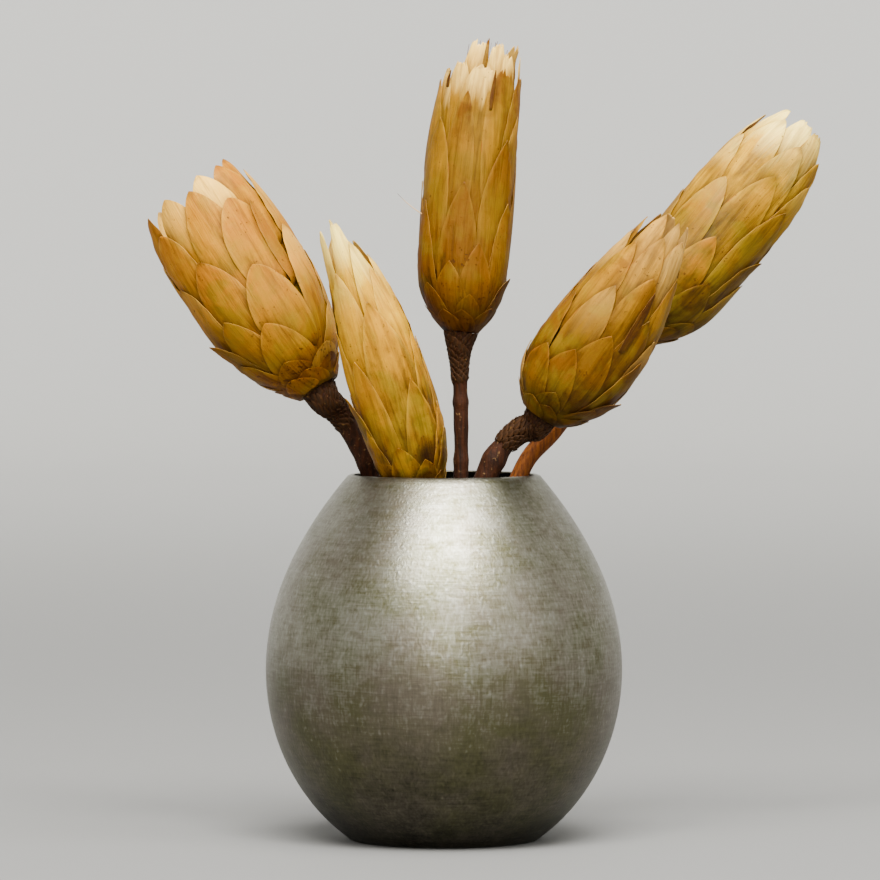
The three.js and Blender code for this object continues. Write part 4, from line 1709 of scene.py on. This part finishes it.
    rear = Flower(
        name="rear",
        axis=Axis((69.8, 19, 182.7), (132.6, 36, 259.4)),
        outline=Outline(8, 19.2, 8.4, 0.45, 4, 4),
        spiral=Spiral(
            28, 6, 8.6, 0.068, 0.034, 287.4, 0.7, length=0.5, blush=0.5, creamy_from=0.75, torn=2.0,
            slant=0.03,
        ),
        seen=(
            Seen(0.12, 0, 0.8, 0, 0.2), Seen(0.14, 60, 0.8, 0, 0.2), Seen(0.27, 30, 0.95, 0, 0.2),
            Seen(0.30, -40, 1.0, 0, 0.4), Seen(0.42, 0, 0.95, 0, 1.0),
            Seen(0.47, 66, 0.9, -0.3, 0.2, curl=2.2, curl_over=8.0), Seen(0.62, -34, 1.0, 0.12, 1.0),
            Seen(0.73, 10, 1.0, 0, 0.35), Seen(0.66, 48, 1.0, 0, 0.2), Seen(0.80, 62, 0.95, 0.1, 0.3),
            Seen(0.89, 58, 0.9, -0.1, 0.4, curl=1.0), Seen(0.80, -62, 1.0, 0.3, 0.6),
            Seen(0.93, -30, 1.1, 0.75, 0.1), Seen(0.88, 14, 1.0, 0.2, 0.2),
            Seen(0.98, -52, 0.9, 0.8, 0.4, torn=1.0), Seen(0.98, 2, 1.0, 0.9, 0.1, torn=2.0),
            Seen(0.97, 38, 1.0, 0.4, 0.2, torn=2.0),
        ),
        top=0.9,
        foot=(12.5, -19.1),
        way=((27.4, 1.4, 131.6), (40.8, 6.5, 148.6), (60.6, 15, 172.2)),
        stem_radius=3.2,
        neck_radius=6.2,
        bract=DriedBract(
            "rear",
            by_height=(
                (0.0, "#2e2000"), (0.2, "#503a00"), (0.5, "#745201"), (0.7, "#976d03"), (0.9, "#c08f1b"),
                (1.0, "#cea93a"),
            ),
            blush="#865600", cream="#ffe07c", margin="#b58e21", cream_down=17.0, olive="#706004",
        ),
        relief=0.85,
        pale_stem=True,
    )
    return [left, low, tall, right, rear]


# The studio

@dataclass
class Studio:
    """A pale sweep under soft light from above, and the viewer's camera.

    The camera stands as high as the flowers and looks slightly down, so the floor shows as a low strip.
    """

    camera_at: Point = (-1.44, -2066.0, 217.98)
    look_down: float = 2.047
    lens: float = 234.7
    sensor: float = 36.0
    floor: str = "#6d6d6c"
    wall: str = "#bbbbb9"
    sky: str = "#cfd0d1"
    daylight: float = 0.45
    paper_grain: float = 260.0  # grains in a metre
    sides: int = 96

    def _camera(self) -> None:
        """Places the camera and makes it the scene's."""
        data = bpy.data.cameras.new("viewer")
        data.lens = self.lens
        data.sensor_width = self.sensor
        data.clip_end = 100.0
        camera = linked("viewer", data)
        camera.location = [part * MM for part in self.camera_at]
        camera.rotation_euler = (math.radians(90 - self.look_down), 0.0, 0.0)
        bpy.context.scene.camera = camera

    def _lamp(self, name: str, at: Point, aim: Point, size: float, power: float, tint: str) -> None:
        """Hangs a soft square lamp.

        Args:
            name: The lamp's name.
            at: Where it hangs, in metres.
            aim: What it points at, in metres.
            size: The length of its side, in metres.
            power: Its power in watts.
            tint: Its colour.
        """
        data = bpy.data.lights.new(name, "AREA")
        data.shape = "SQUARE"
        data.size = size
        data.energy = power
        data.color = linear(tint)[:3]
        lamp = linked(name, data)
        lamp.location = at
        right, away, up = np.subtract(aim, at)
        lamp.rotation_euler = (math.atan2(math.hypot(right, away), -up), 0.0, math.atan2(-right, away))
        lamp.visible_camera = False

    def _paper(self) -> Material:
        """Builds the matt paper of the sweep, dark near the object and paler towards the wall."""
        material, put = blank_material("matt_paper")
        spot = put("TexCoord", out="Object")
        fibre = put("TexNoise", {"Vector": spot, "Scale": self.paper_grain, "Detail": 3.0})
        reach = put("VectorMath", (spot,), operation="LENGTH", out="Value")
        far = put("MapRange", (reach, 0.6, 3.8), **SMOOTH)
        paper = put("ValToRGB", (far,), ((0.0, self.floor), (1.0, self.wall)))
        bump = put("Bump", {"Strength": 0.15, "Distance": 0.0002, "Height": fibre})
        shader = put("BsdfPrincipled", {"Base Color": paper, "Roughness": 0.75, "Normal": bump})
        put("OutputMaterial", {"Surface": shader})
        return material

    def _sweep(self) -> None:
        """Lays the floor: a flat disc that curves up far behind everything into a low wall."""
        turn = turns(self.sides)[None, :]
        bend = np.radians(np.linspace(0, 90, 16))
        radius = np.concatenate([[1.0, 400.0, 1500.0], 3200.0 + 1400.0 * np.sin(bend), [4600.0]])[:, None]
        height = np.concatenate([[0.0, 0.0, 0.0], 1400.0 * (1 - np.cos(bend)), [4200.0]])[:, None]
        faces = ring_faces(len(radius), self.sides)
        faces.append(list(range(self.sides)))
        draft = Draft()
        draft.add(stacked(radius * np.cos(turn), radius * np.sin(turn), height), faces)
        sweep = draft.piece("sweep", self._paper())
        sweep.visible_shadow = False

    def _sky(self) -> None:
        """Fills the room with even, pale light."""
        world = bpy.data.worlds.new("daylight")
        world.use_nodes = True
        world.node_tree.nodes.clear()
        put = partial(add_node, world.node_tree)
        glow = put("Background", {"Color": linear(self.sky), "Strength": self.daylight})
        put("OutputWorld", {"Surface": glow})
        bpy.context.scene.world = world

    def build(self) -> None:
        """Sets up camera, floor and light."""
        self._camera()
        self._sweep()
        self._sky()
        self._lamp("softbox", (0.0, -2.0, 3.7), (0.0, 4.6, 2.3), 2.6, 800.0, "#fffdf8")
        self._lamp("room", (0.0, -1.0, 3.8), (0.0, -5.6, 2.4), 2.6, 240.0, "#fffdf8")
        self._lamp("overhead", (0.25, -0.35, 1.5), (0.02, 0.0, 0.2), 0.9, 30.0, "#fffdf8")
        self._lamp("left_window", (-1.5, -1.4, 1.0), (0.0, 0.0, 0.2), 1.8, 4.0, "#fbfcff")
        self._lamp("right_window", (1.5, -1.5, 1.1), (0.0, 0.0, 0.2), 1.8, 14.0, "#fffdf8")
        self._lamp("front", (0.0, -2.6, 1.1), (0.0, 0.0, 0.15), 1.2, 34.0, "#fffdf8")


def main() -> None:
    """Builds the studio, the vase and the flowers; the imported parts that they stand for are kept, hidden.
    """
    logging.basicConfig(level=logging.INFO, format="%(name)s %(message)s")
    Studio().build()
    seat(Vase().piece(AgedMetal().material()), "vase")
    kinds = (
        Bark("protea_bark", dark="#140701", light="#361804", fleck="#7a5c38", flecks_from=0.63),
        Bark("peeled_bark", dark="#361602", light="#763f0c", fleck="#906022", flecks_from=0.7),
        Bark("neck_scales", dark="#140901", light="#402408", fleck="#6a4c24", flecks_from=0.64),
        SilkyHair("floret_silk", foot="#b48f58", head="#ead29c", colour_from=0.3),
        SilkyHair("stiff_style", foot="#c79a5c", head="#3c1f12", colour_from=0.82),
    )
    finishes = {kind.name: kind.material() for kind in kinds}
    for flower in five_flowers():
        flower.build(finishes)
    bpy.context.view_layer.update()


if __name__ == "__main__":
    main()
